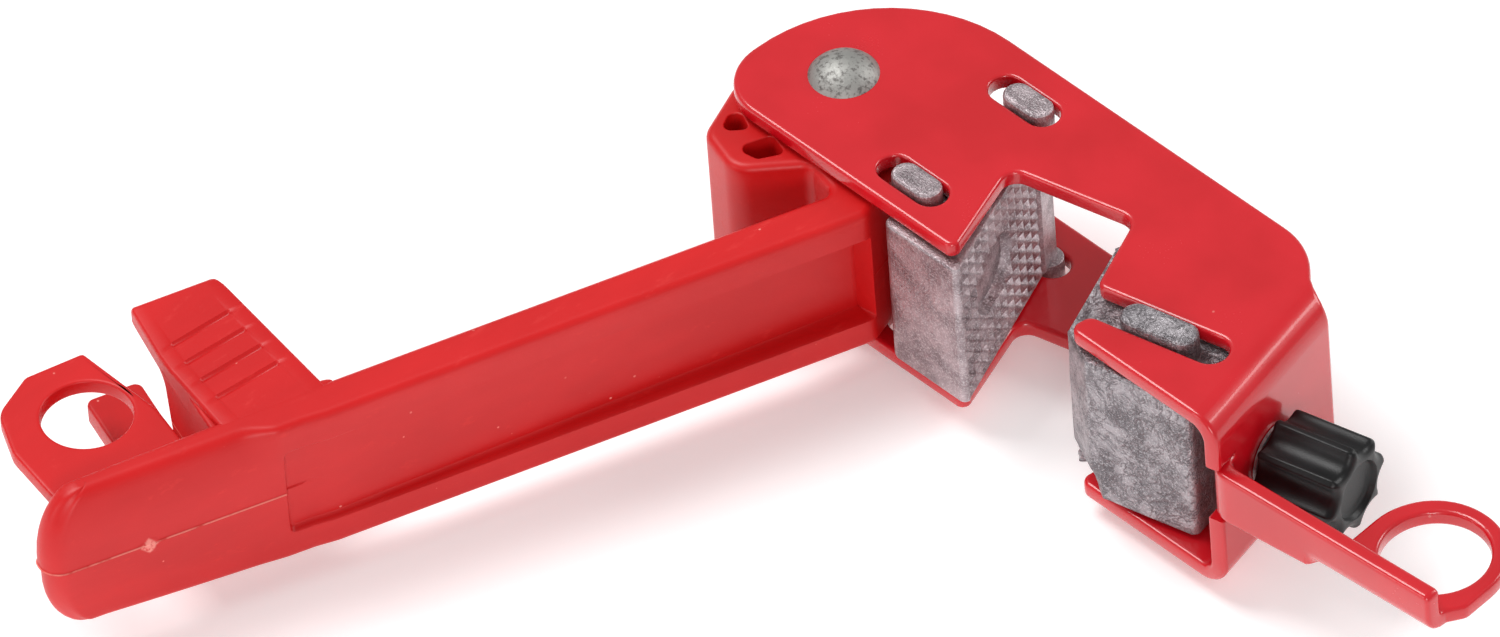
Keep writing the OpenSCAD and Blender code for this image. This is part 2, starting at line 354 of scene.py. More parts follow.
    def cut(self, axis: int, values: Iterable[float]) -> "Surface":
        """Split the faces along planes axis = value, so that the surface can bend there.

        Args:
            axis: 0, 1 or 2.
            values: Places of the planes.
        Returns:
            This surface.
        """
        work = bmesh.new()
        pts = np.concatenate(self.parts)
        verts = [work.verts.new(p) for p in pts.tolist()]
        for f in self.faces:
            if len(set(f)) == len(f):
                work.faces.new([verts[k] for k in f])
        normal = [0.0, 0.0, 0.0]
        normal[axis] = 1.0
        for value in values:
            spot = [0.0, 0.0, 0.0]
            spot[axis] = float(value)
            geom = work.verts[:] + work.edges[:] + work.faces[:]
            bmesh.ops.bisect_plane(work, geom=geom, dist=1e-5, plane_co=spot, plane_no=normal)
        work.verts.index_update()
        self.parts = [np.array([v.co[:] for v in work.verts])]
        self.faces = [tuple(v.index for v in f.verts) for f in work.faces]
        self.count = len(self.parts[0])
        work.free()
        return self


# ---------------------------------------------------------------- places, read off the frame
@dataclass(frozen=True)
class Layout:
    """Where the plan's zero lies in the row frame: the pivot's axis and the lower plate's underside."""

    pivot_x: float
    pivot_y: float
    base_z: float

    @classmethod
    def from_frame(cls) -> "Layout":
        """Read the pivot off the rivet's box and the base off the frame's."""
        low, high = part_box("pivot_rivet")
        return cls((low[0] + high[0]) / 2, (low[1] + high[1]) / 2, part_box("frame")[0][2])

    def place(self, pts: Points) -> Points:
        """Plan millimetres to row-frame metres."""
        return np.asarray(pts) * MM + np.array([self.pivot_x, self.pivot_y, self.base_z])


class Body(str, Enum):
    """The rigid bodies that pieces ride on."""

    FRAME = "frame"
    LEVER = "lever"
    CLAMP = "clamp_jaw"
    ADJUST = "adjust_jaw"
    SCREW = "thumb_screw"


# ---------------------------------------------------------------- finishes
class Wire:
    """A shader value with arithmetic: each operator adds one Math node."""

    def __init__(self, shader: "Shader", socket: bpy.types.NodeSocket) -> None:
        """Wrap an output socket of a shader's node."""
        self.shader, self.socket = shader, socket

    def _math(self, operation: str, first: "Wire | Number", second: "Wire | Number") -> "Wire":
        """One Math node on two values, either of which may be a plain number."""
        made = self.shader.node("ShaderNodeMath", {"operation": operation}, {0: first, 1: second})
        return Wire(self.shader, made.outputs[0])

    def __add__(self, other: "Wire | Number") -> "Wire":
        """Sum."""
        return self._math("ADD", self, other)

    __radd__ = __add__

    def __mul__(self, other: "Wire | Number") -> "Wire":
        """Product."""
        return self._math("MULTIPLY", self, other)

    __rmul__ = __mul__

    def __sub__(self, other: "Wire | Number") -> "Wire":
        """Difference."""
        return self._math("SUBTRACT", self, other)

    def __rsub__(self, other: Number) -> "Wire":
        """Difference from a plain number."""
        return self._math("SUBTRACT", other, self)

    def size(self) -> "Wire":
        """Value without its sign."""
        return self._math("ABSOLUTE", self, 0.0)

    def above(self, edge: float, soft: float) -> "Wire":
        """Mask that rises from 0 to 1 as the value passes edge, over a width of soft.

        Args:
            edge: Middle of the rise.
            soft: Width of the rise.
        Returns:
            The mask.
        """
        made = self.shader.node("ShaderNodeMapRange", {"interpolation_type": "SMOOTHSTEP"}, {
            0: self, 1: edge - soft / 2, 2: edge + soft / 2})
        return Wire(self.shader, made.outputs[0])


class Shader:
    """One material under construction, with its Principled surface."""

    def __init__(self, name: str, fixed: dict[str, float]) -> None:
        """Make the material.

        Args:
            name: The material's name.
            fixed: Principled sockets that are the same all over the surface.
        """
        self.material = bpy.data.materials.new(name + LOOK)
        self.material.use_nodes = True
        self.tree = self.material.node_tree
        self.surface = next(n for n in self.tree.nodes if n.type == "BSDF_PRINCIPLED")
        for socket, value in fixed.items():
            self.surface.inputs[socket].default_value = value
        self.where = self.node("ShaderNodeTexCoord", {}, {}).outputs["Object"]

    def node(self, kind: str, settings: dict, inputs: dict) -> bpy.types.Node:
        """Any node: its settings first, then the values or links of its sockets.

        Args:
            kind: The node's type.
            settings: Properties of the node.
            inputs: Socket name or number to a value, a Wire or an output socket.
        Returns:
            The node.
        """
        made = self.tree.nodes.new(kind)
        for key, value in settings.items():
            setattr(made, key, value)
        for key, value in inputs.items():
            if isinstance(value, Wire):
                self.tree.links.new(value.socket, made.inputs[key])
            elif isinstance(value, bpy.types.NodeSocket):
                self.tree.links.new(value, made.inputs[key])
            else:
                made.inputs[key].default_value = value
        return made

    def noise(self, size_mm: float, detail: float = 2.0, rough: float = 0.5,
              stretch: Sequence[float] = (1, 1, 1)) -> Wire:
        """Noise whose blotches are about size_mm across, longer where stretch is small.

        Args:
            size_mm: Size of the blotches.
            detail: Octaves.
            rough: Weight of the finer octaves.
            stretch: Scale along each axis.
        Returns:
            The noise, 0 to 1.
        """
        spot = self.node("ShaderNodeMapping", {}, {"Vector": self.where, "Scale": tuple(stretch)}).outputs[0]
        made = self.node("ShaderNodeTexNoise", {}, {
            "Vector": spot, "Scale": 1 / (size_mm * MM), "Detail": detail, "Roughness": rough})
        return Wire(self, made.outputs[0])

    def cells(self, size_mm: float) -> Wire:
        """Distance to the nearest of points scattered about size_mm apart."""
        made = self.node("ShaderNodeTexVoronoi", {}, {"Vector": self.where, "Scale": 1 / (size_mm * MM)})
        return Wire(self, made.outputs["Distance"])

    def blend(self, mask: Wire, low: object, high: object) -> bpy.types.NodeSocket:
        """Colour that goes from low to high with the mask."""
        made = self.node("ShaderNodeMix", {"data_type": "RGBA"}, {0: mask, 6: low, 7: high})
        return made.outputs[2]

    def bump(self, height: Wire, depth_mm: float, strength: float = 1.0, over: object = None
             ) -> bpy.types.NodeSocket:
        """Bump of a height that runs 0 to 1 over depth_mm, laid over another bump where given.

        Args:
            height: The height, 0 to 1.
            depth_mm: What it stands for.
            strength: Share that is used.
            over: Normal that it is laid on.
        Returns:
            The normal.
        """
        inputs = {"Height": height, "Distance": depth_mm * MM, "Strength": strength}
        if over is not None:
            inputs["Normal"] = over
        return self.node("ShaderNodeBump", {}, inputs).outputs[0]

    def finish(self, colour: object, roughness: Wire, normal: object = None) -> bpy.types.Material:
        """Link what varies to the surface and return the material.

        Args:
            colour: Colour socket.
            roughness: Roughness.
            normal: Normal socket, where there is one.
        Returns:
            The material.
        """
        self.node_link("Base Color", colour)
        self.node_link("Roughness", roughness.socket)
        if normal is not None:
            self.node_link("Normal", normal)
        return self.material

    def node_link(self, socket: str, source: bpy.types.NodeSocket) -> None:
        """Link one output to a socket of the surface."""
        self.tree.links.new(source, self.surface.inputs[socket])


def rgb(*channels: float) -> tuple[float, float, float, float]:
    """Linear colour from red, green and blue as shown on a display, 0 to 255."""
    s = np.array(channels) / 255
    return (*np.where(s <= 0.04045, s / 12.92, ((s + 0.055) / 1.055) ** 2.4).tolist(), 1.0)


@dataclass(frozen=True)
class PowderCoat:
    """Glossy red powder coat on the sheet, with a faint orange peel and a few specks."""

    slot: str = "powder_red"
    base: tuple = rgb(206, 18, 32)
    deep: tuple = rgb(194, 11, 24)
    speck: tuple = rgb(226, 120, 112)
    peel_mm: float = 1.6
    speck_mm: float = 5.0

    def make(self) -> bpy.types.Material:
        """Build the material.

        Returns:
            The material.
        """
        sh = Shader(self.slot, {"IOR": 1.5, "Coat Weight": 0.4, "Coat Roughness": 0.04})
        cloud = sh.noise(18, 3)
        peel = sh.noise(self.peel_mm, 2)
        grain = sh.noise(0.45, 2)
        specks = sh.cells(self.speck_mm)
        rare = sh.noise(9, 1).above(0.56, 0.1)
        dots = (1 - specks.above(0.05, 0.03)) * rare
        colour = sh.blend(cloud.above(0.5, 0.4), self.deep, self.base)
        colour = sh.blend(dots * 0.7, colour, self.speck)
        rough = 0.18 + cloud * 0.08 + grain * 0.06
        normal = sh.bump(peel, 0.025, 0.4)
        return sh.finish(colour, rough, sh.bump(dots, 0.06, 0.6, normal))


@dataclass(frozen=True)
class MouldedNylon:
    """Satin red nylon with a fine spark-eroded grain, soft flow marks along the arm, pale nicks and gate scar,
    and a painted highlight along the parting line.
    """

    slot: str = "nylon_red"
    base: tuple = rgb(208, 22, 24)
    deep: tuple = rgb(192, 12, 14)
    pale: tuple = rgb(230, 62, 56)
    white: tuple = rgb(244, 150, 138)
    grain_mm: float = 0.4
    painted_highlight_z: float = -0.001
    painted_highlight_from: float = 0.1542
    scar_at: tuple[float, float] = (0.1782, -0.0013)
    arm_way: tuple[float, float] = (-0.31896, -0.94777)

    def make(self) -> bpy.types.Material:
        """Build the material.

        Returns:
            The material.
        """
        sh = Shader(self.slot, {"IOR": 1.42})
        flow = sh.noise(22, 4, 0.6, (1, 0.35, 1))
        grain = sh.noise(self.grain_mm, 3, 0.6)
        scuffs = sh.noise(3.0, 5, 0.75, (1.0, 0.3, 1.0)).above(0.64, 0.1)
        nicks = (1 - sh.cells(4.2).above(0.05, 0.03)) * sh.noise(6, 1).above(0.55, 0.1)
        spot = sh.node("ShaderNodeSeparateXYZ", {}, {0: sh.where})
        x, y, z = (Wire(sh, out) for out in spot.outputs)
        # Painted highlight: a pale line along the grip's parting-line ridge, broken by noise, painted where the
        # ridge catches light. The gate scar adds a real pale mark to the same mask.
        level = 1 - (z - self.painted_highlight_z).size().above(0.00016, 0.00014)
        reach = (x * self.arm_way[0] + y * self.arm_way[1]).above(self.painted_highlight_from, 0.0004)
        seam = level * reach * sh.noise(2.5, 3).above(0.4, 0.3)
        along = x * self.arm_way[0] + y * self.arm_way[1]
        off = (along - self.scar_at[0]).size() + (z - self.scar_at[1]).size()
        seam = seam + (1 - off.above(0.0016, 0.0008)) * sh.noise(0.8, 3).above(0.45, 0.2)
        colour = sh.blend(flow.above(0.5, 0.45), self.deep, self.base)
        colour = sh.blend(scuffs * 0.2, colour, self.pale)
        # The white blend holds the real pale nicks and gate scar, and the painted highlight along the parting
        # line.
        colour = sh.blend(nicks * 0.8 + seam * 0.75, colour, self.white)
        rough = 0.36 + grain * 0.14 + scuffs * 0.1 - flow * 0.06
        normal = sh.bump(grain, 0.03, 0.5)
        return sh.finish(colour, rough, sh.bump(flow + nicks * 0.2, 0.3, 0.2, normal))


@dataclass(frozen=True)
class CastZinc:
    """Grey die-cast zinc, tumbled smooth or left rough with swirls and cold-shut marks."""

    slot: str
    base: tuple
    dark: tuple
    light: tuple
    pit_depth: float
    swirl: float
    polish: float

    def make(self) -> bpy.types.Material:
        """Build the material.

        Returns:
            The material.
        """
        sh = Shader(self.slot, {"Metallic": 0.8})
        cloud = sh.noise(6, 4, 0.62)
        grain = sh.noise(0.35, 4, 0.75)
        hammer = sh.noise(1.6, 3, 0.55)
        drift = sh.node("ShaderNodeTexNoise", {}, {
            "Vector": sh.where, "Scale": 110.0, "Detail": 2.0}).outputs[1]
        spot = sh.node("ShaderNodeMix", {"data_type": "VECTOR"}, {
            0: 0.012, 4: sh.where, 5: drift}).outputs[1]
        lines = sh.node("ShaderNodeTexNoise", {}, {
            "Vector": spot, "Scale": 300.0, "Detail": 5.0, "Roughness": 0.7})
        veins = 1 - (Wire(sh, lines.outputs[0]) - 0.5).size().above(0.018, 0.03)
        pits = (1 - sh.cells(1.9).above(0.12, 0.08)) * sh.noise(5, 2).above(0.5, 0.15)
        colour = sh.blend(cloud.above(0.5, 0.3), self.dark, self.base)
        colour = sh.blend(grain.above(0.56, 0.16) * 0.5, colour, self.light)
        colour = sh.blend(veins * self.swirl + pits * 0.5, colour, self.dark)
        rough = self.polish + cloud * 0.12 + grain * 0.16
        normal = sh.bump(hammer, 0.3 * self.pit_depth, 0.6)
        normal = sh.bump(grain, 0.14 * self.pit_depth, 0.7, normal)
        normal = sh.bump(1 - pits - veins * self.swirl, 0.2 * self.pit_depth, 0.7, normal)
        return sh.finish(colour, rough, normal)


@dataclass(frozen=True)
class PlatedSteel:
    """Plated or turned steel with fine speckle and, where turned, rings round the pivot or screw."""

    slot: str
    base: tuple
    dark: tuple
    speck_mm: float
    polish: float

    def make(self) -> bpy.types.Material:
        """Build the material.

        Returns:
            The material.
        """
        sh = Shader(self.slot, {"Metallic": 0.9})
        speckle = sh.noise(self.speck_mm, 4, 0.7)
        cloud = sh.noise(4, 3)
        dents = 1 - sh.cells(1.8).above(0.14, 0.1)
        colour = sh.blend(speckle.above(0.56, 0.16) * 0.75, self.base, self.dark)
        colour = sh.blend(dents * 0.4, colour, self.dark)
        rough = self.polish + speckle * 0.2 + cloud * 0.08
        return sh.finish(colour, rough, sh.bump(speckle - dents * 0.5, 0.12, 0.8))


@dataclass(frozen=True)
class BlackMoulding:
    """Black moulded knob plastic, satin with a dusty bloom."""

    slot: str = "knob_black"
    base: tuple = rgb(7, 7, 8)
    dust: tuple = rgb(22, 22, 25)

    def make(self) -> bpy.types.Material:
        """Build the material.

        Returns:
            The material.
        """
        sh = Shader(self.slot, {"IOR": 1.42})
        cloud = sh.noise(5, 4, 0.65)
        grain = sh.noise(0.3, 3, 0.6)
        colour = sh.blend(cloud.above(0.58, 0.3) * 0.5, self.base, self.dust)
        rough = 0.28 + grain * 0.14 + cloud * 0.1
        return sh.finish(colour, rough, sh.bump(grain, 0.05, 0.5))


class Finish(Enum):
    """The finishes of the object, one for each slot of the record."""

    POWDER = PowderCoat()
    NYLON = MouldedNylon()
    CAST_SATIN = CastZinc("cast_satin",
                          rgb(188, 172, 176), rgb(136, 121, 125), rgb(240, 234, 236), 1.1, 0.12, 0.2)
    CAST_ROUGH = CastZinc("cast_rough",
                          rgb(172, 165, 169), rgb(112, 106, 110), rgb(224, 221, 224), 1.4, 0.7, 0.24)
    ZINC = PlatedSteel("zinc_steel", rgb(168, 167, 163), rgb(96, 92, 90), 0.9, 0.42)
    TURNED = PlatedSteel("turned_steel", rgb(176, 176, 176), rgb(120, 120, 120), 0.5, 0.26)
    KNOB = BlackMoulding()

    def material(self) -> bpy.types.Material:
        """The finish's material, made on first use."""
        return bpy.data.materials.get(self.value.slot + LOOK) or self.value.make()


def piece(name: str, surface: Surface, layout: Layout, finish: Finish, body: Body,
          stands_for: Sequence[str] = (), sharp: float = 32.0) -> bpy.types.Object:
    """Turn a surface in plan millimetres into a finished piece that rides its body.

    Args:
        name: The piece's name.
        surface: Its faces.
        layout: The plan's place in the row frame.
        finish: Its finish.
        body: The body it moves with.
        stands_for: CAD nodes that it replaces.
        sharp: Angle above which an edge stays sharp, in degrees.
    Returns:
        The Blender object.
    """
    mesh = bpy.data.meshes.new(name)
    pts = layout.place(np.concatenate(surface.parts))
    mesh.from_pydata(pts.tolist(), [], [f for f in surface.faces if len(set(f)) == len(f)])
    work = bmesh.new()
    work.from_mesh(mesh)
    bmesh.ops.remove_doubles(work, verts=work.verts, dist=2e-6)
    bmesh.ops.dissolve_degenerate(work, dist=1e-6, edges=work.edges)
    work.to_mesh(mesh)
    work.free()
    mesh.shade_smooth()
    mesh.set_sharp_from_angle(angle=math.radians(sharp))
    mesh.materials.append(finish.material())
    made = bpy.data.objects.new(name, mesh)
    bpy.context.scene.collection.objects.link(made)
    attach(made, body.value)
    if stands_for:
        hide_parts(*stands_for)
    log.info("%s: %d faces", name, len(mesh.polygons))
    return made


# ---------------------------------------------------------------- frame
@dataclass
class SheetFrame:
    """The folded sheet: two plates, a web across their ends and a strip with an eye."""

    layout: Layout
    turn: float = 13.0
    thick: float = 3.0
    bend_at: float = 90.0
    bend_in: float = 2.3
    level_top: float = 31.7
    level_low: float = 5.3
    screw_y: float = -23.6
    slot_half: float = 3.1
    slot_end: float = 87.9
    front_y: float = -16.0
    edge: float = 0.7
    strip_fold: float = -33.67
    strip_turn: float = 80.8
    strip_angle: float = 3.8
    strip_base: tuple[float, float] = (102.39, -10.92)
    strip_len: float = 43.0
    fold_in: float = 2.0
    eye_top: float = 21.6
    eye_in: float = 0.6
    eye_blend: tuple[float, float] = (16.5, 19.7)
    eye_centre: tuple[float, float] = (33.0, 12.75)
    nut_r: float = 5.0
    boss_slots: tuple[tuple[float, float], ...] = ((25.75, -9.5), (25.75, 15.4))

    @property
    def bend_len(self) -> float:
        """Developed length of the bends between the web and a plate."""
        return math.pi / 2 * (self.bend_in + self.thick / 2)

    @property
    def fold_len(self) -> float:
        """Developed length of the bend between the web and the strip."""
        return math.radians(self.strip_turn) * (self.fold_in + self.thick / 2)

    @property
    def eye_len(self) -> float:
        """Developed length of the bend between the strip and the eye."""
        return math.pi / 2 * (self.eye_in + self.thick / 2)

    def plan(self) -> Loop:
        """Outline of both plates seen from above, on the frame's axes.

        Returns:
            The outline, in plan millimetres.
        """
        def on_screw(x: float, side: float, r: float) -> list[float]:
            """Corner at a station on one side of the screw slot."""
            return [*turned(np.array([[x, self.screw_y + side * self.slot_half]]), self.turn)[0], r]
        return rounded([
            [-15, self.front_y, 10], [41.9, self.front_y, 1.5], [35, 3, 2.6], [58, 8.6, 3],
            on_screw(61.4, 1, 1.8), on_screw(self.slot_end, 1, self.slot_half - 0.01),
            on_screw(self.slot_end, -1, self.slot_half - 0.01), on_screw(64.1, -1, 2),
            [67.8, self.front_y, 1.9], [104, self.front_y, 0], [104, 16.2, 0], [90.4, 16.2, 8],
            [82.5, 23.7, 14], [-15, 23.7, 28.8]], 6)

    def flat(self, pts: Loop, top: bool) -> Loop:
        """Plan points of a plate on the sheet laid flat: (w along the web, u up the web).

        Args:
            pts: Plan points of a plate.
            top: Whether it is the upper plate.
        Returns:
            The flat points.
        """
        across = turned(pts, -self.turn)
        reach = self.bend_len + self.bend_at - across[:, 0]
        return np.stack([across[:, 1], self.level_top + reach if top else self.level_low - reach], 1)

    def blank(self) -> Loop:
        """Outline of the whole sheet laid flat, anticlockwise in (w, u).

        Returns:
            The outline.
        """
        around = turned(self.plan(), -self.turn)
        inside = around[:, 0] <= self.bend_at
        start = next(i for i in range(len(around)) if inside[i] and not inside[i - 1])
        order = np.roll(around, -start, 0)
        plate = order[order[:, 0] <= self.bend_at]
        beyond = order[order[:, 0] > self.bend_at]
        back = np.concatenate([beyond, plate[:1]])
        back = back[back[:, 1] > -20]
        back = back[np.argsort(back[:, 0])]

        def front_w(x: np.ndarray) -> np.ndarray:
            """Front edge of the web at a distance from the pivot."""
            return (self.front_y - x * math.sin(math.radians(self.turn))) / math.cos(math.radians(self.turn))

        def back_w(x: np.ndarray) -> np.ndarray:
            """Back edge of the web at a distance from the pivot."""
            return np.interp(x, back[:, 0], back[:, 1])

        phi = np.linspace(0, 1, 6)
        mid = self.bend_at + (self.bend_in + self.thick / 2) * np.cos(phi * math.pi / 2)
        up_back = np.stack([back_w(mid), self.level_top + phi * self.bend_len], 1)
        up_front = np.stack([front_w(mid), self.level_top + phi * self.bend_len], 1)
        low = np.array([1.0, -1.0])
        shift = np.array([0.0, self.level_top + self.level_low])
        down_back, down_front = up_back * low + shift, up_front * low + shift
        top_plate = np.stack([plate[:, 1], self.level_top + self.bend_len + self.bend_at - plate[:, 0]], 1)
        low_plate = top_plate * low + shift
        w0 = self.strip_fold - self.fold_len
        tip = w0 - self.strip_len
        eye_u = self.eye_top - self.eye_len
        out = self.eye_in + self.thick
        crown = eye_u - (24.55 - out)
        wf = float(up_front[0, 0])
        tongue = rounded([
            [wf, 26.85, 0], [self.strip_fold, 26.85, 0], [self.strip_fold, 26.65, 0], [tip, 26.65, 1.2],
            [tip, eye_u - 0.4, 1.0], [w0 - 44.9, eye_u - 3.2, 2.4], [w0 - 44.9, crown, 12.0],
            [w0 - 20.6, crown, 12.0], [w0 - 20.6, 17.7, 2.0], [self.strip_fold, 16.0, 0],
            [self.strip_fold, 15.5, 0], [wf, 15.5, 0]], 6)
        return np.concatenate([
            down_front[:-1], low_plate[::-1], down_back[::-1], up_back[:-1], top_plate, up_front[::-1], tongue])

    def fold(self, pts: Points) -> Points:
        """Fold the flat sheet: straight parts stay straight, and each bend turns u or w into an angle.

        Args:
            pts: Flat points (w, u, t), with t from 0 on the inner face to the thickness outside.
        Returns:
            Plan points in millimetres.
        """
        w, u, t = pts.T
        part = np.clip((u - self.level_top) / self.bend_len, 0, None)
        drop = np.clip((self.level_low - u) / self.bend_len, 0, None)
        phi = np.clip(part + drop, 0, 1) * math.pi / 2
        past = np.clip(part + drop - 1, 0, None) * self.bend_len
        radius = self.bend_in + t
        x = np.where(part + drop > 0, self.bend_at + radius * np.cos(phi) - past, self.bend_at + radius)
        rise = radius * np.sin(phi)
        z = np.clip(u, self.level_low, self.level_top) + np.where(part > 0, rise, -rise)
        body = turned(np.stack([x, w, z], 1), self.turn)

        a = np.radians(90 + self.strip_angle)
        out_w = self.strip_fold - w
        turn = np.clip(out_w / self.fold_len, 0, 1) * math.radians(self.strip_turn)
        turn = turn + math.radians(180 + self.turn)
        q = np.clip(out_w - self.fold_len, 0, None)
        ahead, across = np.array([math.sin(a), -math.cos(a)]), np.array([math.cos(a), math.sin(a)])
        r = self.fold_in + self.thick - t
        centre = np.array(self.strip_base)
        curl = centre + r[:, None] * np.stack([np.cos(turn), np.sin(turn)], 1) + q[:, None] * ahead
        dip = np.clip((self.eye_top - u) / self.eye_len, 0, None)
        bow = np.clip(dip, 0, 1) * math.pi / 2
        lean = np.clip(dip - 1, 0, None) * self.eye_len
        outer = self.eye_in + self.thick
        gap = outer - t
        m = np.where(dip > 0, outer - gap * np.cos(bow) + lean, t)
        bent_z = np.where(dip > 0, self.eye_top - gap * np.sin(bow), u)
        mix = smoothstep(q, *self.eye_blend)
        strip_xy = curl + ((m - t) * mix)[:, None] * across
        strip = np.column_stack([strip_xy, u + (bent_z - u) * mix])
        tongue = (w < self.strip_fold) & ((w < -38.4) | ((u > 15.75) & (u < 26.75)))
        return np.where(tongue[:, None], strip, body)

    def build(self) -> None:
        """Fold the sheet and dress it in powder coat."""
        holes = [Hole(circle(self.screw_y, self.layout_mid, self.nut_r), edge=0.3)]
        w0 = self.strip_fold - self.fold_len
        q, m = self.eye_centre
        eye_u = self.eye_top - self.eye_len - (m - self.eye_in - self.thick)
        holes.append(Hole(circle(w0 - q, eye_u, 9.0, 72), edge=0.7))
        for x, y in self.boss_slots:
            slot = oblong(x, y, 14.2, 5.8)
            holes += [Hole(self.flat(slot, top), edge=0.5) for top in (True, False)]
        sheet = Surface()
        sheet.slab(self.blank(), 0, self.thick, self.edge, holes)
        steps = np.linspace(0, self.bend_len, 9)
        bends = [self.level_top + steps, self.level_low - steps, self.eye_top - np.linspace(0, self.eye_len, 7)]
        guard = [self.level_top - 0.4, self.level_top + self.bend_len + 0.4,
                 self.level_low + 0.4, self.level_low - self.bend_len - 0.4]
        sheet.cut(1, np.concatenate([*bends, guard]))
        blend = w0 - np.linspace(self.eye_blend[0], self.eye_blend[1], 6)
        sheet.cut(0, np.concatenate([
            self.strip_fold - np.linspace(0, self.fold_len, 9), blend,
            [self.strip_fold + 0.4, w0 - 0.4, w0 - self.eye_blend[0] + 0.5, w0 - self.eye_blend[1] - 0.5]]))
        sheet.warp(self.fold)
        piece("frame_sheet", sheet, self.layout, Finish.POWDER, Body.FRAME, ["frame"], 40)

    @property
    def layout_mid(self) -> float:
        """Height of the screw line: half way between the plates' outer faces."""
        return (self.level_top + self.level_low) / 2


# ---------------------------------------------------------------- pivot and hardware
@dataclass
class Hardware:
    """Turned pieces: the rivet, its washer, the sleeve and spacers, and the nut in the web."""

    layout: Layout
    top: float = 37.0
    rivet_r: float = 4.0
    head_r: float = 5.85
    turn: float = 13.0
    screw_y: float = -23.6
    screw_z: float = 18.5

    def dome(self, height: float, start: float, way: int) -> list[tuple[float, float]]:
        """Half profile of a low dome: a circular arc from its rim to its crown, with a rolled rim.

        Args:
            height: Rise of the dome.
            start: Level of its rim.
            way: 1 for a dome that rises, -1 for one that hangs.
        Returns:
            The (radius, height) pairs.
        """
        ball = (self.head_r ** 2 + height ** 2) / (2 * height)
        half = math.asin(min(1.0, self.head_r / ball))
        angles = np.linspace(half * 0.985, 0.02, 12)
        arc = [(ball * math.sin(a), start + way * (height - ball + ball * math.cos(a))) for a in angles]
        return [(self.head_r - 0.02, start + way * 0.02)] + arc + [(0.0005, start + way * height)]

    def rivet(self) -> None:
        """The pivot rivet: a domed head, the shank and a peened tail, turned about the pivot."""
        tail = self.dome(2.4, -1.2, -1)[::-1]
        head = self.dome(3.0, self.top, 1)
        shank = [(self.rivet_r, -1.2), (self.rivet_r, self.top)]
        shape = Surface()
        shape.lathe(tail + shank + head, 96)
        piece("pivot_rivet_turned", shape, self.layout, Finish.ZINC, Body.FRAME, ["pivot_rivet"], 40)

    def ring(self, name: str, inner: float, outer: float, low: float, high: float, edge: float,
             finish: Finish, body: Body, node: str) -> None:
        """A flat ring or tube with rounded edges, swept round the pivot.

        Args:
            name: Piece name.
            inner: Inner radius.
            outer: Outer radius.
            low: Lower face.
            high: Upper face.
            edge: Edge radius.
            finish: Its finish.
            body: The body it rides.
            node: CAD node that it replaces.
        """
        shape = Surface()
        shape.slab(circle(0, 0, outer, 96), low, high, edge, [Hole(circle(0, 0, inner, 64), edge=edge)])
        piece(name, shape, self.layout, finish, body, [node])

    def on_screw(self, pts: Points) -> Points:
        """From (radius sideways, radius up, station along the screw) to plan points."""
        return turned(np.stack([pts[:, 2], self.screw_y + pts[:, 0], self.screw_z + pts[:, 1]], 1), self.turn)

    def nut(self) -> None:
        """The nut pressed in the web: a barrel with a flange and a counterbored thread mouth."""
        shape = Surface()
        profile = [(3.1, 92.3), (3.5, 92.3), (5.0, 92.3), (5.0, 95.3), (5.3, 95.3), (5.6, 95.45), (5.6, 95.9),
                   (5.4, 96.1), (4.0, 96.1), (3.1, 95.5), (3.1, 92.3)]
        shape.lathe(profile, 72)
        shape.warp(self.on_screw)
        piece("web_nut_turned", shape, self.layout, Finish.TURNED, Body.FRAME, ["web_nut"])

    def build(self) -> None:
        """Make all the turned pieces that don't move with the screw."""
        self.rivet()
        self.ring("rivet_washer_flat", 4.0, 8.0, -1.2, 0.0, 0.25, Finish.ZINC, Body.FRAME, "rivet_washer")
        self.ring("pivot_sleeve_tube", 4.0, 5.5, 3.0, 34.0, 0.2, Finish.TURNED, Body.FRAME, "pivot_sleeve")
        self.ring("spacer_upper_ring", 5.55, 10.0, 33.1, 33.9, 0.15, Finish.TURNED, Body.LEVER, "spacer_upper")
        self.ring("spacer_lower_ring", 5.55, 10.0, 3.1, 3.9, 0.15, Finish.TURNED, Body.LEVER, "spacer_lower")
        self.nut()


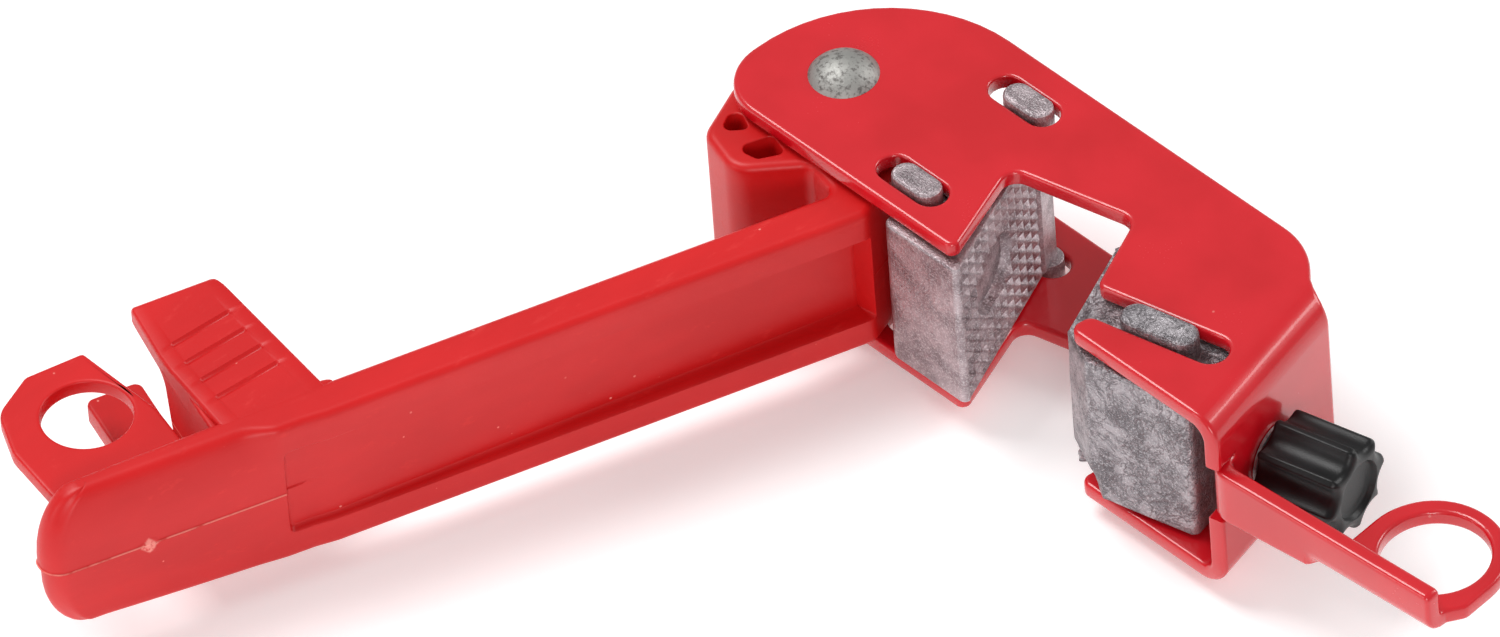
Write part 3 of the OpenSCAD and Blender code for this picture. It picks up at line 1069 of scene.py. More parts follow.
# ---------------------------------------------------------------- thumb screw
@dataclass
class ThumbScrew:
    """The screw with its retaining ring and its lobed knob."""

    layout: Layout
    hardware: Hardware
    tip: float = 80.4
    ring_at: float = 81.2
    knob_at: float = 96.5
    knob_len: float = 15.4
    knob_r: float = 8.5
    lobes: int = 8
    valley_r: float = 3.3
    valley_at: float = 10.2
    shank_r: float = 3.0
    pitch: float = 1.0

    def spindle(self) -> None:
        """Threaded shank: radius r = 3 - depth * triangle(angle / turn - station / pitch)."""
        stations = np.arange(self.tip + 0.4, self.knob_at + 1.2, self.pitch / 8)
        angle = np.linspace(0, 2 * math.pi, 48, endpoint=False)
        s, a = np.meshgrid(stations, angle, indexing="ij")
        phase = (s / self.pitch - a / (2 * math.pi)) % 1
        fade = smoothstep(s, self.tip + 3.0, self.tip + 4.0)
        r = self.shank_r - fade * 0.55 * np.clip(1.25 * np.abs(2 * phase - 1) - 0.1, 0, 1)
        rows = np.stack([r * np.cos(a), r * np.sin(a), s], -1)
        start = np.stack([0.0005 * np.cos(a[:1]), 0.0005 * np.sin(a[:1]), s[:1] * 0 + self.tip], -1)
        rim = np.stack([2.6 * np.cos(a[:1]), 2.6 * np.sin(a[:1]), s[:1] * 0 + self.tip], -1)
        end = np.stack([0.0005 * np.cos(a[:1]), 0.0005 * np.sin(a[:1]), s[:1] * 0 + stations[-1]], -1)
        shape = Surface()
        shape.grid(np.concatenate([start, rim, rows, end]), around=True)
        shape.warp(self.hardware.on_screw)
        piece("screw_threaded", shape, self.layout, Finish.TURNED, Body.SCREW, ["screw_spindle"])

    def ring(self) -> None:
        """The retaining ring on the screw's tip."""
        shape = Surface()
        bore = Hole(circle(0, 0, 3.0, 48), edge=0.2)
        shape.slab(circle(0, 0, 4.8, 64), self.ring_at, self.ring_at + 1.2, 0.2, [bore])
        shape.warp(self.hardware.on_screw)
        piece("retaining_ring_split", shape, self.layout, Finish.TURNED, Body.SCREW, ["retaining_ring"])

    def lobe(self, angle: np.ndarray, grow: float) -> np.ndarray:
        """Knob radius at an angle: the full circle cut by round valleys, joined by a soft minimum.

        Args:
            angle: Angles about the screw, in radians.
            grow: Amount by which the whole outline is drawn in.
        Returns:
            Radii in millimetres.
        """
        half = math.pi / self.lobes
        off = (angle % (2 * half)) - half
        reach = (self.valley_r + grow) ** 2 - (self.valley_at * np.sin(off)) ** 2
        near = self.valley_at * np.cos(off) - np.sqrt(np.clip(reach, 0, None))
        near = np.where(reach > 0, near, 30.0)
        full = self.knob_r - grow
        sharp = 0.22
        return -sharp * np.log(np.exp(-(near - full) / sharp) + 1.0) + full

    def knob(self) -> None:
        """Lobed knob: rings of the lobed outline, drawn in along quarter rounds at both ends."""
        angle = np.linspace(0, 2 * math.pi, 288, endpoint=False)
        start, end = self.knob_at, self.knob_at + self.knob_len
        s = np.radians(np.linspace(0, 90, 7))
        big, small = 1.5, 0.8
        lower = [(small - small * math.sin(k), start + small - small * math.cos(k)) for k in s]
        upper = [(big - big * math.cos(k), end - big + big * math.sin(k)) for k in s]
        levels = [(0.0, x) for x in np.linspace(start + 2, end - 3, 6)]
        rows = []
        for draw, x in lower + levels + upper:
            taper = 0.35 * (1 - (x - start) / self.knob_len)
            r = self.lobe(angle, draw + taper * 0.6)
            rows.append(np.stack([r * np.cos(angle), r * np.sin(angle), np.full(288, x)], -1))
        first = rows[0]
        closing = []
        for share in (0.8, 0.5, 0.0001):
            r = np.hypot(first[:, 0], first[:, 1]) * share
            closing.append(np.stack([r * np.cos(angle), r * np.sin(angle), np.full(288, start)], -1))
        rim = np.hypot(rows[-1][:, 0], rows[-1][:, 1])
        inner = []
        for share, r_to, x in ((0.35, 5.3, end), (0.8, 5.3, end), (1, 5.35, end - 0.02), (1, 5.15, end - 0.2),
                               (1, 5.0, end - 0.75), (1, 4.7, end - 1.0), (1, 4.0, end - 1.1),
                               (1, 2.0, end - 1.15), (1, 0.001, end - 1.15)):
            r = rim + (r_to - rim) * share
            inner.append(np.stack([r * np.cos(angle), r * np.sin(angle), np.full(288, x)], -1))
        shape = Surface()
        shape.grid(np.array(closing[::-1] + rows + inner), around=True)
        shape.warp(self.hardware.on_screw)
        piece("thumb_knob_lobed", shape, self.layout, Finish.KNOB, Body.SCREW, ["thumb_knob"], 50)

    def build(self) -> None:
        """Make the screw's pieces."""
        self.spindle()
        self.ring()
        self.knob()


# ---------------------------------------------------------------- lever
@dataclass
class Lever:
    """One moulding: boss with a cam nose, channelled arm, grip, thumb tab, padlock ring and guard."""

    layout: Layout
    angle: float = -108.6
    low: float = 4.0
    high: float = 33.0
    boss_r: float = 16.3
    arm_in: float = 19.9
    arm_out: float = 27.2
    length: float = 154.0
    channel_z: tuple[float, float] = (9.6, 27.3)
    outer_run: tuple[float, float] = (8.0, 112.0)
    inner_run: tuple[float, float] = (16.0, 98.0)
    outer_deep: tuple[float, float] = (3.8, 1.1)
    inner_deep: float = 2.2
    ring_at: tuple[float, float] = (136.8, 5.8)
    hole_r: float = 7.5
    tab_tip: float = -10.4
    groove_at: tuple[float, ...] = (-0.15, 4.6, 9.35, 14.1)
    groove_slope: float = 0.19
    skirt_run: tuple[float, float] = (119.5, 121.5)

    def outline(self) -> Loop:
        """Boss, cam nose, arm and grip seen from above, with closely spaced points along the arm.

        Returns:
            The outline, in the lever's own plan.
        """
        corners = [[15, -10.2, 3], [24.1, -2.4, 4], [23.7, 7.6, 5], [12.2, 12.4, 2.5], [11.4, self.arm_in, 2],
                   [104, self.arm_in, 0], [153.5, 20.7, 1.6], [self.length, 26.4, 3.6], [108, 26.8, 0],
                   [104, self.arm_out, 0], [9, self.arm_out, 3], [3, 22.8, 3]]
        enter = self.crossing(np.array([2.0, -9.0]), np.array([15.0, -10.2]))
        leave = self.crossing(np.array([-9.0, 9.0]), np.array([3.0, 22.8]))
        nose = rounded([[*enter, 0], *corners, [*leave, 0]], 7.5)
        start, stop = math.atan2(leave[1], leave[0]), math.atan2(enter[1], enter[0]) + 2 * math.pi
        turn = np.linspace(start, stop, 40)[1:-1]
        arc = self.boss_r * np.stack([np.cos(turn), np.sin(turn)], 1)
        return self.spaced(np.concatenate([nose, arc]))

    def crossing(self, inside: np.ndarray, outside: np.ndarray) -> np.ndarray:
        """Point where a line from inside the boss circle leaves it.

        Args:
            inside: Point inside the circle.
            outside: Point outside it.
        Returns:
            The crossing point.
        """
        way = outside - inside
        b, c, q = inside @ way, inside @ inside - self.boss_r ** 2, way @ way
        return inside + way * (-b + math.sqrt(b * b - q * c)) / q

    def spaced(self, loop: Loop) -> Loop:
        """Add points to the long sides: about every 3 mm, and closer at the channels' ends.

        Args:
            loop: The outline.
        Returns:
            The outline with the extra points.
        """
        marks = []
        for edge in (*self.outer_run, *self.inner_run):
            inward = 1 if edge in (self.outer_run[0], self.inner_run[0]) else -1
            marks += [edge + inward * d for d in (-0.9, -0.4, -0.15, 0.0, 0.15, 0.3, 0.5, 0.8, 1.3, 2.0, 3.0)]
        marks = np.array(sorted(marks + list(np.arange(113.0, 152.0, 1.5))))
        marks = marks[np.append(True, np.diff(marks) > 0.06)]
        rows = []
        for p, q in zip(loop, np.roll(loop, -1, 0)):
            rows.append(p[None])
            if abs(q[0] - p[0]) > 5:
                inside = marks[(marks > min(p[0], q[0]) + 0.2) & (marks < max(p[0], q[0]) - 0.2)]
                inside = inside if q[0] > p[0] else inside[::-1]
                t = (inside - p[0]) / (q[0] - p[0])
                rows.append(p + t[:, None] * (q - p))
        return np.concatenate(rows)

    def press(self, loop: Loop, way: Loop, z: float) -> np.ndarray:
        """Inset of the side wall: the channels on both sides of the arm and the crowned grip.

        Each channel is a rounded rectangle; the inset rises over its edge by a smooth step of the signed
        distance. On the grip the wall leans inwards away from the parting line.

        Args:
            loop: Points of the outline.
            way: Their miters.
            z: Height.
        Returns:
            Inset of each point.
        """
        a, side = loop[:, 0], way[:, 1]
        total = np.zeros(len(loop))
        share = np.clip((a - self.outer_run[0]) / (self.outer_run[1] - self.outer_run[0]), 0, 1)
        floor = self.outer_deep[0] + (self.outer_deep[1] - self.outer_deep[0]) * share
        sides = ((self.outer_run, floor, side > 0.9), (self.inner_run, self.inner_deep, side < -0.9))
        for run, deep, mask in sides:
            half = np.array([(run[1] - run[0]) / 2, (self.channel_z[1] - self.channel_z[0]) / 2])
            r = 1.2
            dx = np.abs(a - sum(run) / 2) - half[0] + r
            dz = abs(z - sum(self.channel_z) / 2) - half[1] + r
            out = np.hypot(np.clip(dx, 0, None), max(dz, 0)) + np.minimum(np.maximum(dx, dz), 0) - r
            total += np.where(mask & (np.abs(loop[:, 1]) > 15), deep * smoothstep(-out, -0.1, 0.4), 0)
        grip = smoothstep(a, 112.0, 118.0) * smoothstep(side, 0.0, 0.9) * (loop[:, 1] > 20)
        below, above = max(18.5 - z, 0) / 14.5, max(z - 18.5, 0) / 14.5
        lean = below ** 1.6 * (0.4 + 1.5 * np.clip((a - 117) / 30, 0, 1.0)) + above ** 3 * 2.2
        total += grip * lean
        line = 0.26 * (abs(z - 18.5) < 0.1) * ((a > 108) | (a < 8)) * (loop[:, 1] > -30)
        return total - line

    def body(self) -> Surface:
        """The main shell: the outline swept up from the lower to the upper face, pressed in at the sides.

        Returns:
            The shell.
        """
        loop = wound(self.outline(), True)
        way = miters(loop)
        r, margin = 1.3, 0.35
        steps = np.radians(np.linspace(0, 90, 5))
        rings = [(r + margin, self.low)]
        rings += [(r - r * math.sin(s), self.low + r - r * math.cos(s)) for s in steps]
        lo, hi = self.channel_z
        near = np.array([-0.9, -0.4, -0.15, 0.0, 0.15, 0.3, 0.5, 0.8, 1.3, 2.2])
        middle = [14.0, 16.5, 18.1, 18.28, 18.5, 18.72, 18.9, 20.5, 23.0]
        levels = np.concatenate([[6.4, 7.6], lo + near, middle, hi - near[::-1], [29.2, 30.6]])
        rings += [(0.0, z) for z in levels]
        rings += [(r - r * math.cos(s), self.high - r + r * math.sin(s)) for s in steps]
        rings += [(r + margin, self.high)]
        rows = np.array([
            np.column_stack([loop - (d + self.press(loop, way, z))[:, None] * way, np.full(len(loop), z)])
            for d, z in rings])
        shape = Surface()
        first = shape.grid(rows, around=True)
        bottoms, tops = [(first, rows[0][:, :2])], [(first + (len(rows) - 1) * rows.shape[1], rows[-1][:, :2])]
        self.pockets(shape, bottoms, tops)
        shape.cap(bottoms, False)
        shape.cap(tops, True)
        return shape.warp(self.round_tip)

    def round_tip(self, pts: Points) -> Points:
        """Draw the grip's end back above and below the parting line, by a quarter ellipse of the height.

        Args:
            pts: Points of the shell.
        Returns:
            The moved points.
        """
        a, _, z = pts.T
        over = np.clip((z - 20.0) / (self.high - 20.0), 0, 1)
        under = np.clip((15.0 - z) / (15.0 - self.low), 0, 1)
        back = 8.5 * (1 - np.sqrt(1 - 0.97 * over ** 2)) + 7.5 * (1 - np.sqrt(1 - 0.97 * under ** 2))
        back = back + 0.45 * (z < 18.35)
        reach = np.clip((a - 126.0) / (self.length - 126.0), 0, 1)
        return np.stack([a - back * reach ** 1.6, pts[:, 1], z], 1)

    def pockets(self, shape: Surface, bottoms: list, tops: list) -> None:
        """The moulded pockets of the boss and cam nose, from both faces, with round lips.

        Args:
            shape: Surface that takes the faces.
            bottoms: Outlines of the lower face, added to.
            tops: Outlines of the upper face, added to.
        """
        plans = [[[16.4, -6.6, 1.4], [21.4, -1.4, 1.2], [17.2, 0.4, 0.8]],
                 [[14.6, 3.4, 1], [21.2, 3.2, 1.4], [19.0, 7.2, 1.2], [14.4, 8.2, 1]]]
        lip = np.radians(np.linspace(0, 90, 4))
        for plan in plans:
            loop = wound(rounded(plan, 15), False)
            way = miters(loop)
            for top in (True, False):
                face = self.high if top else self.low
                sign = -1 if top else 1
                rim = [(0.25 - 0.25 * math.cos(s), face + sign * (0.25 - 0.25 * math.sin(s))) for s in lip]
                ring = [(0.4, face)] + rim[::-1] + [(-0.25, face + sign * 9.0), (-0.45, face + sign * 9.6)]
                ring = ring[::-1] if top else ring
                rows = np.array([np.column_stack([loop - d * way, np.full(len(loop), z)]) for d, z in ring])
                first = shape.grid(rows, around=True)
                last = first + (len(rows) - 1) * rows.shape[1]
                if top:
                    shape.cap([(first, rows[0][:, :2])], True)
                    tops.append((last, rows[-1][:, :2]))
                else:
                    shape.cap([(last, rows[-1][:, :2])], False)
                    bottoms.append((first, rows[0][:, :2]))

    def tab(self) -> Surface:
        """The thumb tab: its side view swept along the lever between two slanting ends, with cut grooves.

        Returns:
            The tab.
        """
        side = rounded([[23.0, self.high - 0.02, 0], [self.tab_tip, self.high, 1.2], [self.tab_tip, 29.4, 1],
                        [5, 29.2, 8], [17.5, 24, 2], [18.5, 12, 2], [22.6, 9, 0]], 9)
        width = 21.0
        shape = Surface()
        shape.slab(side, 0, width, 0.7)

        def leaned(sign: float) -> Callable[[Points], Points]:
            """Shear that lines the grooves up with a cutting plane, or back again."""
            slope = sign * self.groove_slope
            return lambda pts: pts + np.outer((pts[:, 2] - 11.0) * slope, [1.0, 0.0, 0.0])

        shape.warp(leaned(-1))
        p_cuts = np.concatenate([np.array(self.groove_at) + d for d in (-0.62, -0.4, -0.2, 0.2, 0.4, 0.62)])
        shape.cut(0, p_cuts)
        shape.warp(leaned(1))
        shape.cut(0, [-9.8, -9.0, -7.9, -6.5])
        shape.cut(2, [3.3, 3.7, 4.1, 17.2, 17.6, 18.0])

        def shaped(pts: Points) -> Points:
            """Spread the swept side between the slanting ends, and press the grooves in.

            Args:
                pts: Points (p, z, share of the width).
            Returns:
                Points along the lever, across it and up.
            """
            p, z, s = pts.T
            deep = np.zeros(len(p))
            line = p - (s - 11.0) * self.groove_slope
            for at in self.groove_at:
                deep = np.maximum(deep, smoothstep(0.62 - np.abs(line - at), 0.0, 0.4))
            deep = deep * smoothstep(s, 3.3, 4.1) * smoothstep(18.0 - s, 0, 0.8) * (z > self.high - 0.1)
            low = np.interp(p, [self.tab_tip, -9.8, -9.0, -7.9, -6.5, 23],
                            [107.9, 107.0, 106.55, 106.2, 105.95, 101.2])
            high = np.interp(p, [self.tab_tip, -9.8, -9.0, 4, 23], [121.3, 121.8, 121.9, 122.4, 120.1])
            return np.stack([low + s / width * (high - low), p, z - 0.55 * deep], 1)
        return shape.warp(shaped)

    def build(self) -> None:
        """Join the lever's shells, turn them to the open position and dress them in nylon."""
        shape = self.body()
        ring = Surface()
        corners = [[125.5, 22.5, 0], [126.3, 10, 4], [131.6, -7.3, 0.8], [142, -6.7, 2], [149.2, -1.2, 5],
                   [150.8, 8, 6], [149.0, 22.5, 0]]
        eye = Hole(circle(*self.ring_at, self.hole_r, 72), edge=0.45)
        ring.slab(rounded(corners, 6), 27.0, 29.8, 0.5, [eye])
        guard = Surface()
        lip = [[121.3, 22.5, 0], [121.3, self.tab_tip, 1.5], [131, self.tab_tip, 1.5], [131, 22.5, 0]]
        guard.slab(rounded(lip, 9), 12.0, 16.0, 0.5)
        rib = Surface()
        foot = [[124.7, 8, 0.6], [127.7, 8, 0.6], [127.7, 22.5, 0], [124.7, 22.5, 0]]
        rib.slab(rounded(foot, 15), 4.3, 13.0, 0.4)
        for other in (self.tab(), self.skirt(), ring, guard, rib, self.root_bead(), self.gate_scar()):
            shape.join(other)
        shape.warp(lambda pts: turned(pts, self.angle))
        piece("lever_moulding", shape, self.layout, Finish.NYLON, Body.LEVER, ["lever"], 42)

    def skirt(self) -> Surface:
        """Wall under the tab's outer end: its side view swept between two levels along the lever.

        Returns:
            The wall.
        """
        side = rounded([[22.6, self.high - 1.2, 0], [-9, self.high - 1.2, 0], [-9, 29.9, 0], [-2.4, 28.4, 8],
                        [1.2, 26, 3], [2.7, 17, 4], [6, 10.5, 3], [22.6, 9, 0]], 6)
        shape = Surface()
        shape.slab(side, *self.skirt_run, 0.5)
        return shape.warp(lambda pts: np.stack([pts[:, 2], pts[:, 0], pts[:, 1]], 1))

    def root_bead(self) -> Surface:
        """The rounded bead where the thumb tab meets the arm: a stretched ellipsoid of latitude rings.

        Returns:
            The bead.
        """
        lat, lon = np.meshgrid(np.radians(np.linspace(-89.9, 89.9, 17)), np.radians(np.arange(0, 360, 15)),
                               indexing="ij")
        power = np.sign(np.sin(lat)) * np.abs(np.sin(lat)) ** 0.6
        rows = np.stack([1.5 * np.cos(lat) * np.cos(lon), 0.62 * np.cos(lat) * np.sin(lon), 7.6 * power], -1)
        shape = Surface()
        shape.grid(rows, around=True)
        lean = 0.16

        def placed(pts: Points) -> Points:
            """Lay the bead down at the foot of the tab."""
            side, up, on = pts.T
            return np.stack([107.6 + on, 21.3 + side + on * lean, self.high - 0.62 + up], 1)

        return shape.warp(placed)

    def gate_scar(self) -> Surface:
        """The sprue mark on the grip's outer side: a low uneven button standing on the parting line.

        Returns:
            The mark.
        """
        r, t = np.meshgrid(np.linspace(0.001, 1.5, 7), np.radians(np.arange(0, 360, 15)), indexing="ij")
        edge = 1 + 0.22 * np.sin(3 * t + 1) + 0.12 * np.sin(5 * t)
        lift = 0.16 * (1 - smoothstep(r, 0.7, 1.5)) + 0.1 * ripple(r * np.cos(t), r * np.sin(t), 0.5)
        rows = np.stack([r * edge * np.cos(t), lift * (r < 1.4), r * edge * np.sin(t)], -1)[::-1]
        shape = Surface()
        shape.grid(rows, around=True)
        return shape.warp(lambda pts: pts + np.array([136.0, self.arm_out - 0.62, 18.2]))


# ---------------------------------------------------------------- jaws
def divided(loop: Loop, start: np.ndarray, along: np.ndarray, stations: np.ndarray) -> Loop:
    """Outline with extra points at the given distances from start, on the side that runs along a line.

    Args:
        loop: The outline.
        start: A point on the side to divide.
        along: Unit direction of that side.
        stations: Distances from start.
    Returns:
        The outline with the extra points.
    """
    rows = []
    for p, q in zip(loop, np.roll(loop, -1, 0)):
        rows.append(p[None])
        side = q - p
        length = float(np.linalg.norm(side))
        off = abs(float(np.cross(np.append(p - start, 0), np.append(along, 0))[2]))
        if length < 3 or abs(float(side @ along)) < 0.999 * length or off > 0.05:
            continue
        t = (stations - float((p - start) @ along)) / float(side @ along)
        t = np.sort(t[(t > 0.004) & (t < 0.996)])
        rows.append(p + t[:, None] * side)
    return np.concatenate(rows)


def carved(shape: Surface, loop: Loop, low: float, high: float, edge: float, levels: np.ndarray,
           press: Callable[[Loop, Loop, float], np.ndarray]) -> None:
    """Solid swept upwards along its outline, with every level pressed in by a field over the side.

    Args:
        shape: Surface that takes the faces.
        loop: The outline, anticlockwise.
        low: Lower face.
        high: Upper face.
        edge: Radius of the edges.
        levels: Heights between the edges at which the side is sampled.
        press: Inset of the side wall for (points, way inwards, height).
    """
    way = miters(loop)
    steps = np.radians(np.linspace(0, 90, 4))
    rings = [(edge + 0.35, low)]
    rings += [(edge - edge * math.sin(s), low + edge - edge * math.cos(s)) for s in steps]
    rings += [(0.0, float(z)) for z in levels]
    rings += [(edge - edge * math.cos(s), high - edge + edge * math.sin(s)) for s in steps]
    rings += [(edge + 0.35, high)]
    rows = []
    for d, z in rings:
        inset = press(loop, way, z)
        draw = (d + inset)[:, None]
        rows.append(np.column_stack([loop - draw * way, np.full(len(loop), z)]))
    rows = np.array(rows)
    first = shape.grid(rows, around=True)
    shape.cap([(first, rows[0][:, :2])], False)
    shape.cap([(first + (len(rows) - 1) * rows.shape[1], rows[-1][:, :2])], True)


@dataclass
class Teeth:
    """Rows and columns of pyramids on a face: depth = deep * (1 - min of two triangle waves)."""

    start: np.ndarray
    along: np.ndarray
    length: float
    low: float = 3.6
    high: float = 33.4
    rows: int = 12
    columns: int = 12
    deep: float = 1.0
    fine: int = 8

    def stations(self) -> np.ndarray:
        """Places along the face where it is sampled, fine on the teeth."""
        return np.linspace(0, self.length, self.columns * self.fine + 1)

    def levels(self) -> np.ndarray:
        """Heights where the face is sampled."""
        z = np.linspace(self.low, self.high, self.rows * self.fine + 1)
        return z[(z > self.low + 0.45) & (z < self.high - 0.45)]

    def depth(self, loop: Loop, z: float) -> np.ndarray:
        """Depth of the grooves at a height, for points of the outline; 0 off the toothed stretch.

        Args:
            loop: Points of the outline.
            z: Height.
        Returns:
            Depth at each point.
        """
        away = (loop - self.start) @ self.along
        off = np.abs((loop - self.start) @ np.array([self.along[1], -self.along[0]]))
        u = away / self.length * self.columns
        v = (z - self.low) / (self.high - self.low) * self.rows
        wave_u = 1 - np.abs(2 * (u % 1) - 1)
        wave_v = 1 - abs(2 * (v % 1) - 1)
        peak = np.clip(1.12 * np.minimum(wave_u, wave_v), 0, 1)
        wear = 0.12 * ripple(away, np.full(len(away), z), 5.0, 1.3)
        on = (off < 0.05) & (away > 0.0) & (away < self.length)
        return np.where(on, self.deep * (1 - peak * (0.94 + wear)), 0.0)


@dataclass
class ClampJaw:
    """The jaw that the lever's cam pushes: toothed slanting face with an oval recess, and four bosses."""

    layout: Layout
    low: float = 3.6
    high: float = 33.4
    slant: float = 23.0
    rear_r: float = 23.6
    recess: tuple[float, float, float, float, float] = (14.7, 20.0, 7.4, 6.3, 2.4)
    bosses: tuple[tuple[float, float], ...] = ((26.7, -9.5), (26.7, 15.4))

    def face(self, y: float) -> list[float]:
        """Point of the toothed face at a given y."""
        return [43.9 - (y + 17.2) * math.tan(math.radians(self.slant)), y]

    def build(self) -> None:
        """Carve the block and add its bosses."""
        arc = np.radians(np.linspace(28, -22, 14))
        rear = [[self.rear_r * math.cos(a), self.rear_r * math.sin(a), 0] for a in arc]
        corners = [[25.8, -13.2, 2], [26, -17.2, 2], [*self.face(-17.2), 1.2], [*self.face(17.4), 1.2],
                   [21.6, 17.4, 2]]
        s = math.radians(self.slant)
        start, along = np.array(self.face(-17.2)), np.array([-math.sin(s), math.cos(s)])
        teeth = Teeth(start, along, 32.4)
        loop = divided(rounded(rear + corners), start, along, np.concatenate([teeth.stations(), [33.6, 35.0]]))
        at, height, wide, tall, deep = self.recess

        def press(pts: Loop, way: Loop, z: float) -> np.ndarray:
            """Teeth, the oval recess and the uneven cast sides.

            Args:
                pts: Points of the outline.
                way: Their miters; not used here.
                z: Height.
            Returns:
                Inset of each point.
            """
            away = (pts - start) @ along
            off = np.abs((pts - start) @ np.array([along[1], -along[0]]))
            ring = np.hypot((away - at) / wide, (z - height) / tall)
            bowl = deep * smoothstep(1.03 - ring, 0, 0.13) + 0.35 * np.clip(1 - ring, 0, 1)
            cast = 0.06 * ripple(pts[:, 0] + pts[:, 1] * 0.7, np.full(len(pts), z), 6.0)
            fade = max(0.0, min(1.0, (z - self.low) / 0.6, (self.high - z) / 0.6))
            worn = np.maximum(teeth.depth(pts, z) * fade, np.where((off < 0.05) & (ring < 1.05), bowl, 0))
            return worn + np.abs(cast) * (off > 0.05)

        shape = Surface()
        carved(shape, wound(loop, True), self.low, self.high, 0.6, teeth.levels(), press)
        for x, y in self.bosses:
            for low, high, lower, upper in ((-1.0, 4.2, 0.75, 0.2), (32.8, 38.0, 0.2, 0.75)):
                shape.slab(oblong(x, y, 9.7, 5.0), low, high, lower, top_edge=upper, margin=0.25)
        piece("clamp_jaw_cast", shape, self.layout, Finish.CAST_SATIN, Body.CLAMP, ["clamp_jaw"], 28)


@dataclass
class AdjustJaw:
    """The jaw that the screw moves: toothed face, bevelled front corner and a key in each plate's slot."""

    layout: Layout
    turn: float = 13.0
    screw_y: float = -23.6
    low: float = 3.6
    high: float = 33.4
    slope: float = 10.0
    back: float = 16.0
    front: float = -9.8
    rear: float = 86.8
    key_x: float = 75.3

    def build(self) -> None:
        """Carve the block on the screw's axes, add its keys and turn it to the screw line."""
        a = math.radians(self.slope)

        def face(y: float) -> list[float]:
            """Point of the toothed face at a given y."""
            return [59.6 - y * math.tan(a), y]

        corners = [[*face(self.back), 1.4], [*face(-4.8), 1.5], [67, self.front, 1.2],
                   [self.rear, self.front, 1.5], [self.rear, self.back, 3]]
        start, along = np.array(face(-4.8)), np.array([-math.sin(a), math.cos(a)])
        teeth = Teeth(start, along, 21.0, columns=8)
        loop = divided(rounded(corners), start, along, teeth.stations())
        loop = divided(loop, np.array([67, self.front]), np.array([1.0, 0.0]), np.arange(0.8, 19, 1.2))
        slant = np.array([67, self.front]) - start
        slant = slant / np.linalg.norm(slant)
        loop = divided(loop, start, slant, np.arange(1.0, 8, 1.0))

        def press(pts: Loop, way: Loop, z: float) -> np.ndarray:
            """Teeth, the bevelled corner, its parting seam and the uneven cast sides.

            Args:
                pts: Points of the outline.
                way: Their miters; not used here.
                z: Height.
            Returns:
                Inset of each point.
            """
            depth = teeth.depth(pts, z)
            fade = max(0.0, min(1.0, (z - self.low) / 0.6, (self.high - z) / 0.6))
            bevel = max(0.0, 9.5 - z) * 0.5 * smoothstep(69.0 - pts[:, 0], 0, 3) * (pts[:, 1] < -4.0)
            seam = -0.16 * np.exp(-((pts[:, 0] - 69.0 - 0.25 * math.sin(z / 3)) / 0.45) ** 2) * (pts[:, 1] < -9)
            cast = 0.16 * ripple(pts[:, 0] + pts[:, 1], np.full(len(pts), z), 4.0, 0.6)
            return np.where(depth > 0, depth * fade, np.abs(cast) + bevel + seam)

        shape = Surface()
        carved(shape, wound(loop, True), self.low, self.high, 0.7, teeth.levels(), press)
        for low, high, lower, upper in ((-1.0, 4.2, 0.75, 0.2), (32.8, 38.0, 0.2, 0.75)):
            shape.slab(oblong(self.key_x, 0.0, 14.0, 5.5), low, high, lower, top_edge=upper, margin=0.25)
        shape.warp(lambda pts: turned(pts + np.array([0.0, self.screw_y, 0.0]), self.turn))
        piece("adjust_jaw_cast", shape, self.layout, Finish.CAST_ROUGH, Body.ADJUST, ["adjust_jaw"], 28)


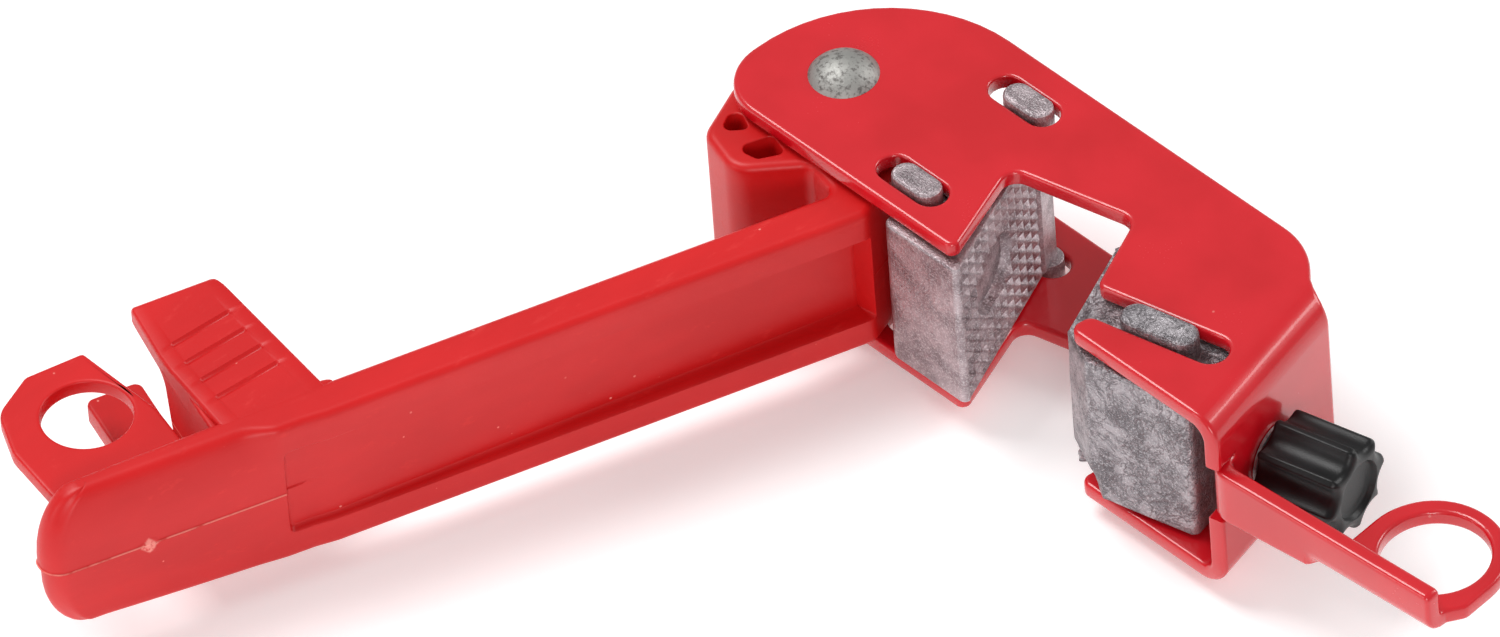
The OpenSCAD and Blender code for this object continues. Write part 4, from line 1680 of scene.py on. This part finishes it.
# ---------------------------------------------------------------- studio
@dataclass
class Studio:
    """Floor, lights and camera."""

    layout: Layout
    azimuth: float = 49.3
    lift: float = 44.43
    roll: float = 4.5
    distance: float = 4.8667
    lens: float = 730.0
    sky: float = 0.42
    aim: tuple[float, float, float] = (15.05, -36.79, 18.5)

    def floor(self) -> None:
        """A wide pale sheet just under the rivet's tail, as a flat coarse grid."""
        level = float(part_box("pivot_rivet")[0][2]) - 0.00005
        x, y = np.meshgrid(np.linspace(-3, 3, 9), np.linspace(-3, 3, 9))
        rows = np.stack([x, y, np.full(x.shape, level)], -1)
        shape = Surface()
        shape.grid(rows)
        mesh = bpy.data.meshes.new("floor")
        mesh.from_pydata(np.concatenate(shape.parts).tolist(), [], shape.faces)
        sh = Shader("floor_pale", {
            "IOR": 1.3, "Emission Color": (1.0, 1.0, 1.0, 1.0), "Emission Strength": 0.22})
        cloud = sh.noise(400, 2)
        colour = sh.blend(cloud, rgb(247, 247, 247), rgb(250, 250, 250))
        mesh.materials.append(sh.finish(colour, 0.65 + cloud * 0.1))
        made = bpy.data.objects.new("floor", mesh)
        bpy.context.scene.collection.objects.link(made)

    def lamp(self, name: str, place: Sequence[float], size: float, power: float) -> None:
        """A square soft light at place, in metres from the object's middle, that faces the object.

        Args:
            name: The lamp's name.
            place: Where it stands.
            size: Side of the square.
            power: Watts.
        """
        data = bpy.data.lights.new(name, "AREA")
        data.shape, data.size, data.energy = "SQUARE", size, power
        made = bpy.data.objects.new(name, data)
        middle = Vector(self.layout.place(np.array(self.aim)).tolist())
        spot = middle + Vector(place)
        facing = (spot - middle).to_track_quat("Z", "Y").to_matrix().to_4x4()
        made.matrix_world = Matrix.Translation(spot) @ facing
        bpy.context.scene.collection.objects.link(made)

    def camera(self) -> None:
        """Long-lens camera on the line of sight, turned about it by the roll."""
        a, e, r = (math.radians(v) for v in (self.azimuth, self.lift, self.roll))
        back = np.array([math.sin(a) * math.cos(e), -math.cos(a) * math.cos(e), math.sin(e)])
        level = np.array([math.cos(a), math.sin(a), 0.0])
        rise = np.cross(back, level)
        right = math.cos(r) * level - math.sin(r) * rise
        up = math.sin(r) * level + math.cos(r) * rise
        place = self.layout.place(np.array(self.aim)) + back * self.distance
        data = bpy.data.cameras.new("camera")
        data.lens, data.sensor_width, data.clip_start, data.clip_end = self.lens, 36.0, 1.0, 60.0
        made = bpy.data.objects.new("camera", data)
        rows = np.column_stack([right, up, back, place]).tolist()
        made.matrix_world = Matrix(rows + [[0.0, 0.0, 0.0, 1.0]])
        bpy.context.scene.collection.objects.link(made)
        bpy.context.scene.camera = made

    def build(self) -> None:
        """Set the whole studio up."""
        scene = bpy.context.scene
        scene.view_settings.view_transform = "Standard"
        world = bpy.data.worlds.new("soft_white")
        world.use_nodes = True
        surface = next(n for n in world.node_tree.nodes if n.type == "BACKGROUND")
        surface.inputs[0].default_value = (1.0, 1.0, 1.0, 1.0)
        surface.inputs[1].default_value = self.sky
        scene.world = world
        self.floor()
        self.lamp("key", (-0.7, -0.2, 1.5), 0.8, 17.5)
        self.lamp("fill", (1.3, -1.1, 0.7), 0.6, 9.0)
        self.lamp("rim", (0.5, 1.3, 0.8), 0.6, 7.0)
        self.lamp("front", (-0.4, -1.5, 0.5), 0.6, 3.0)
        self.camera()


def main() -> None:
    """Build the studio and every sub-assembly in order."""
    logging.basicConfig(level=logging.INFO, format="%(message)s")
    layout = Layout.from_frame()
    Studio(layout).build()
    SheetFrame(layout).build()
    hardware = Hardware(layout)
    hardware.build()
    ThumbScrew(layout, hardware).build()
    Lever(layout).build()
    ClampJaw(layout).build()
    AdjustJaw(layout).build()


if __name__ == "__main__":
    main()
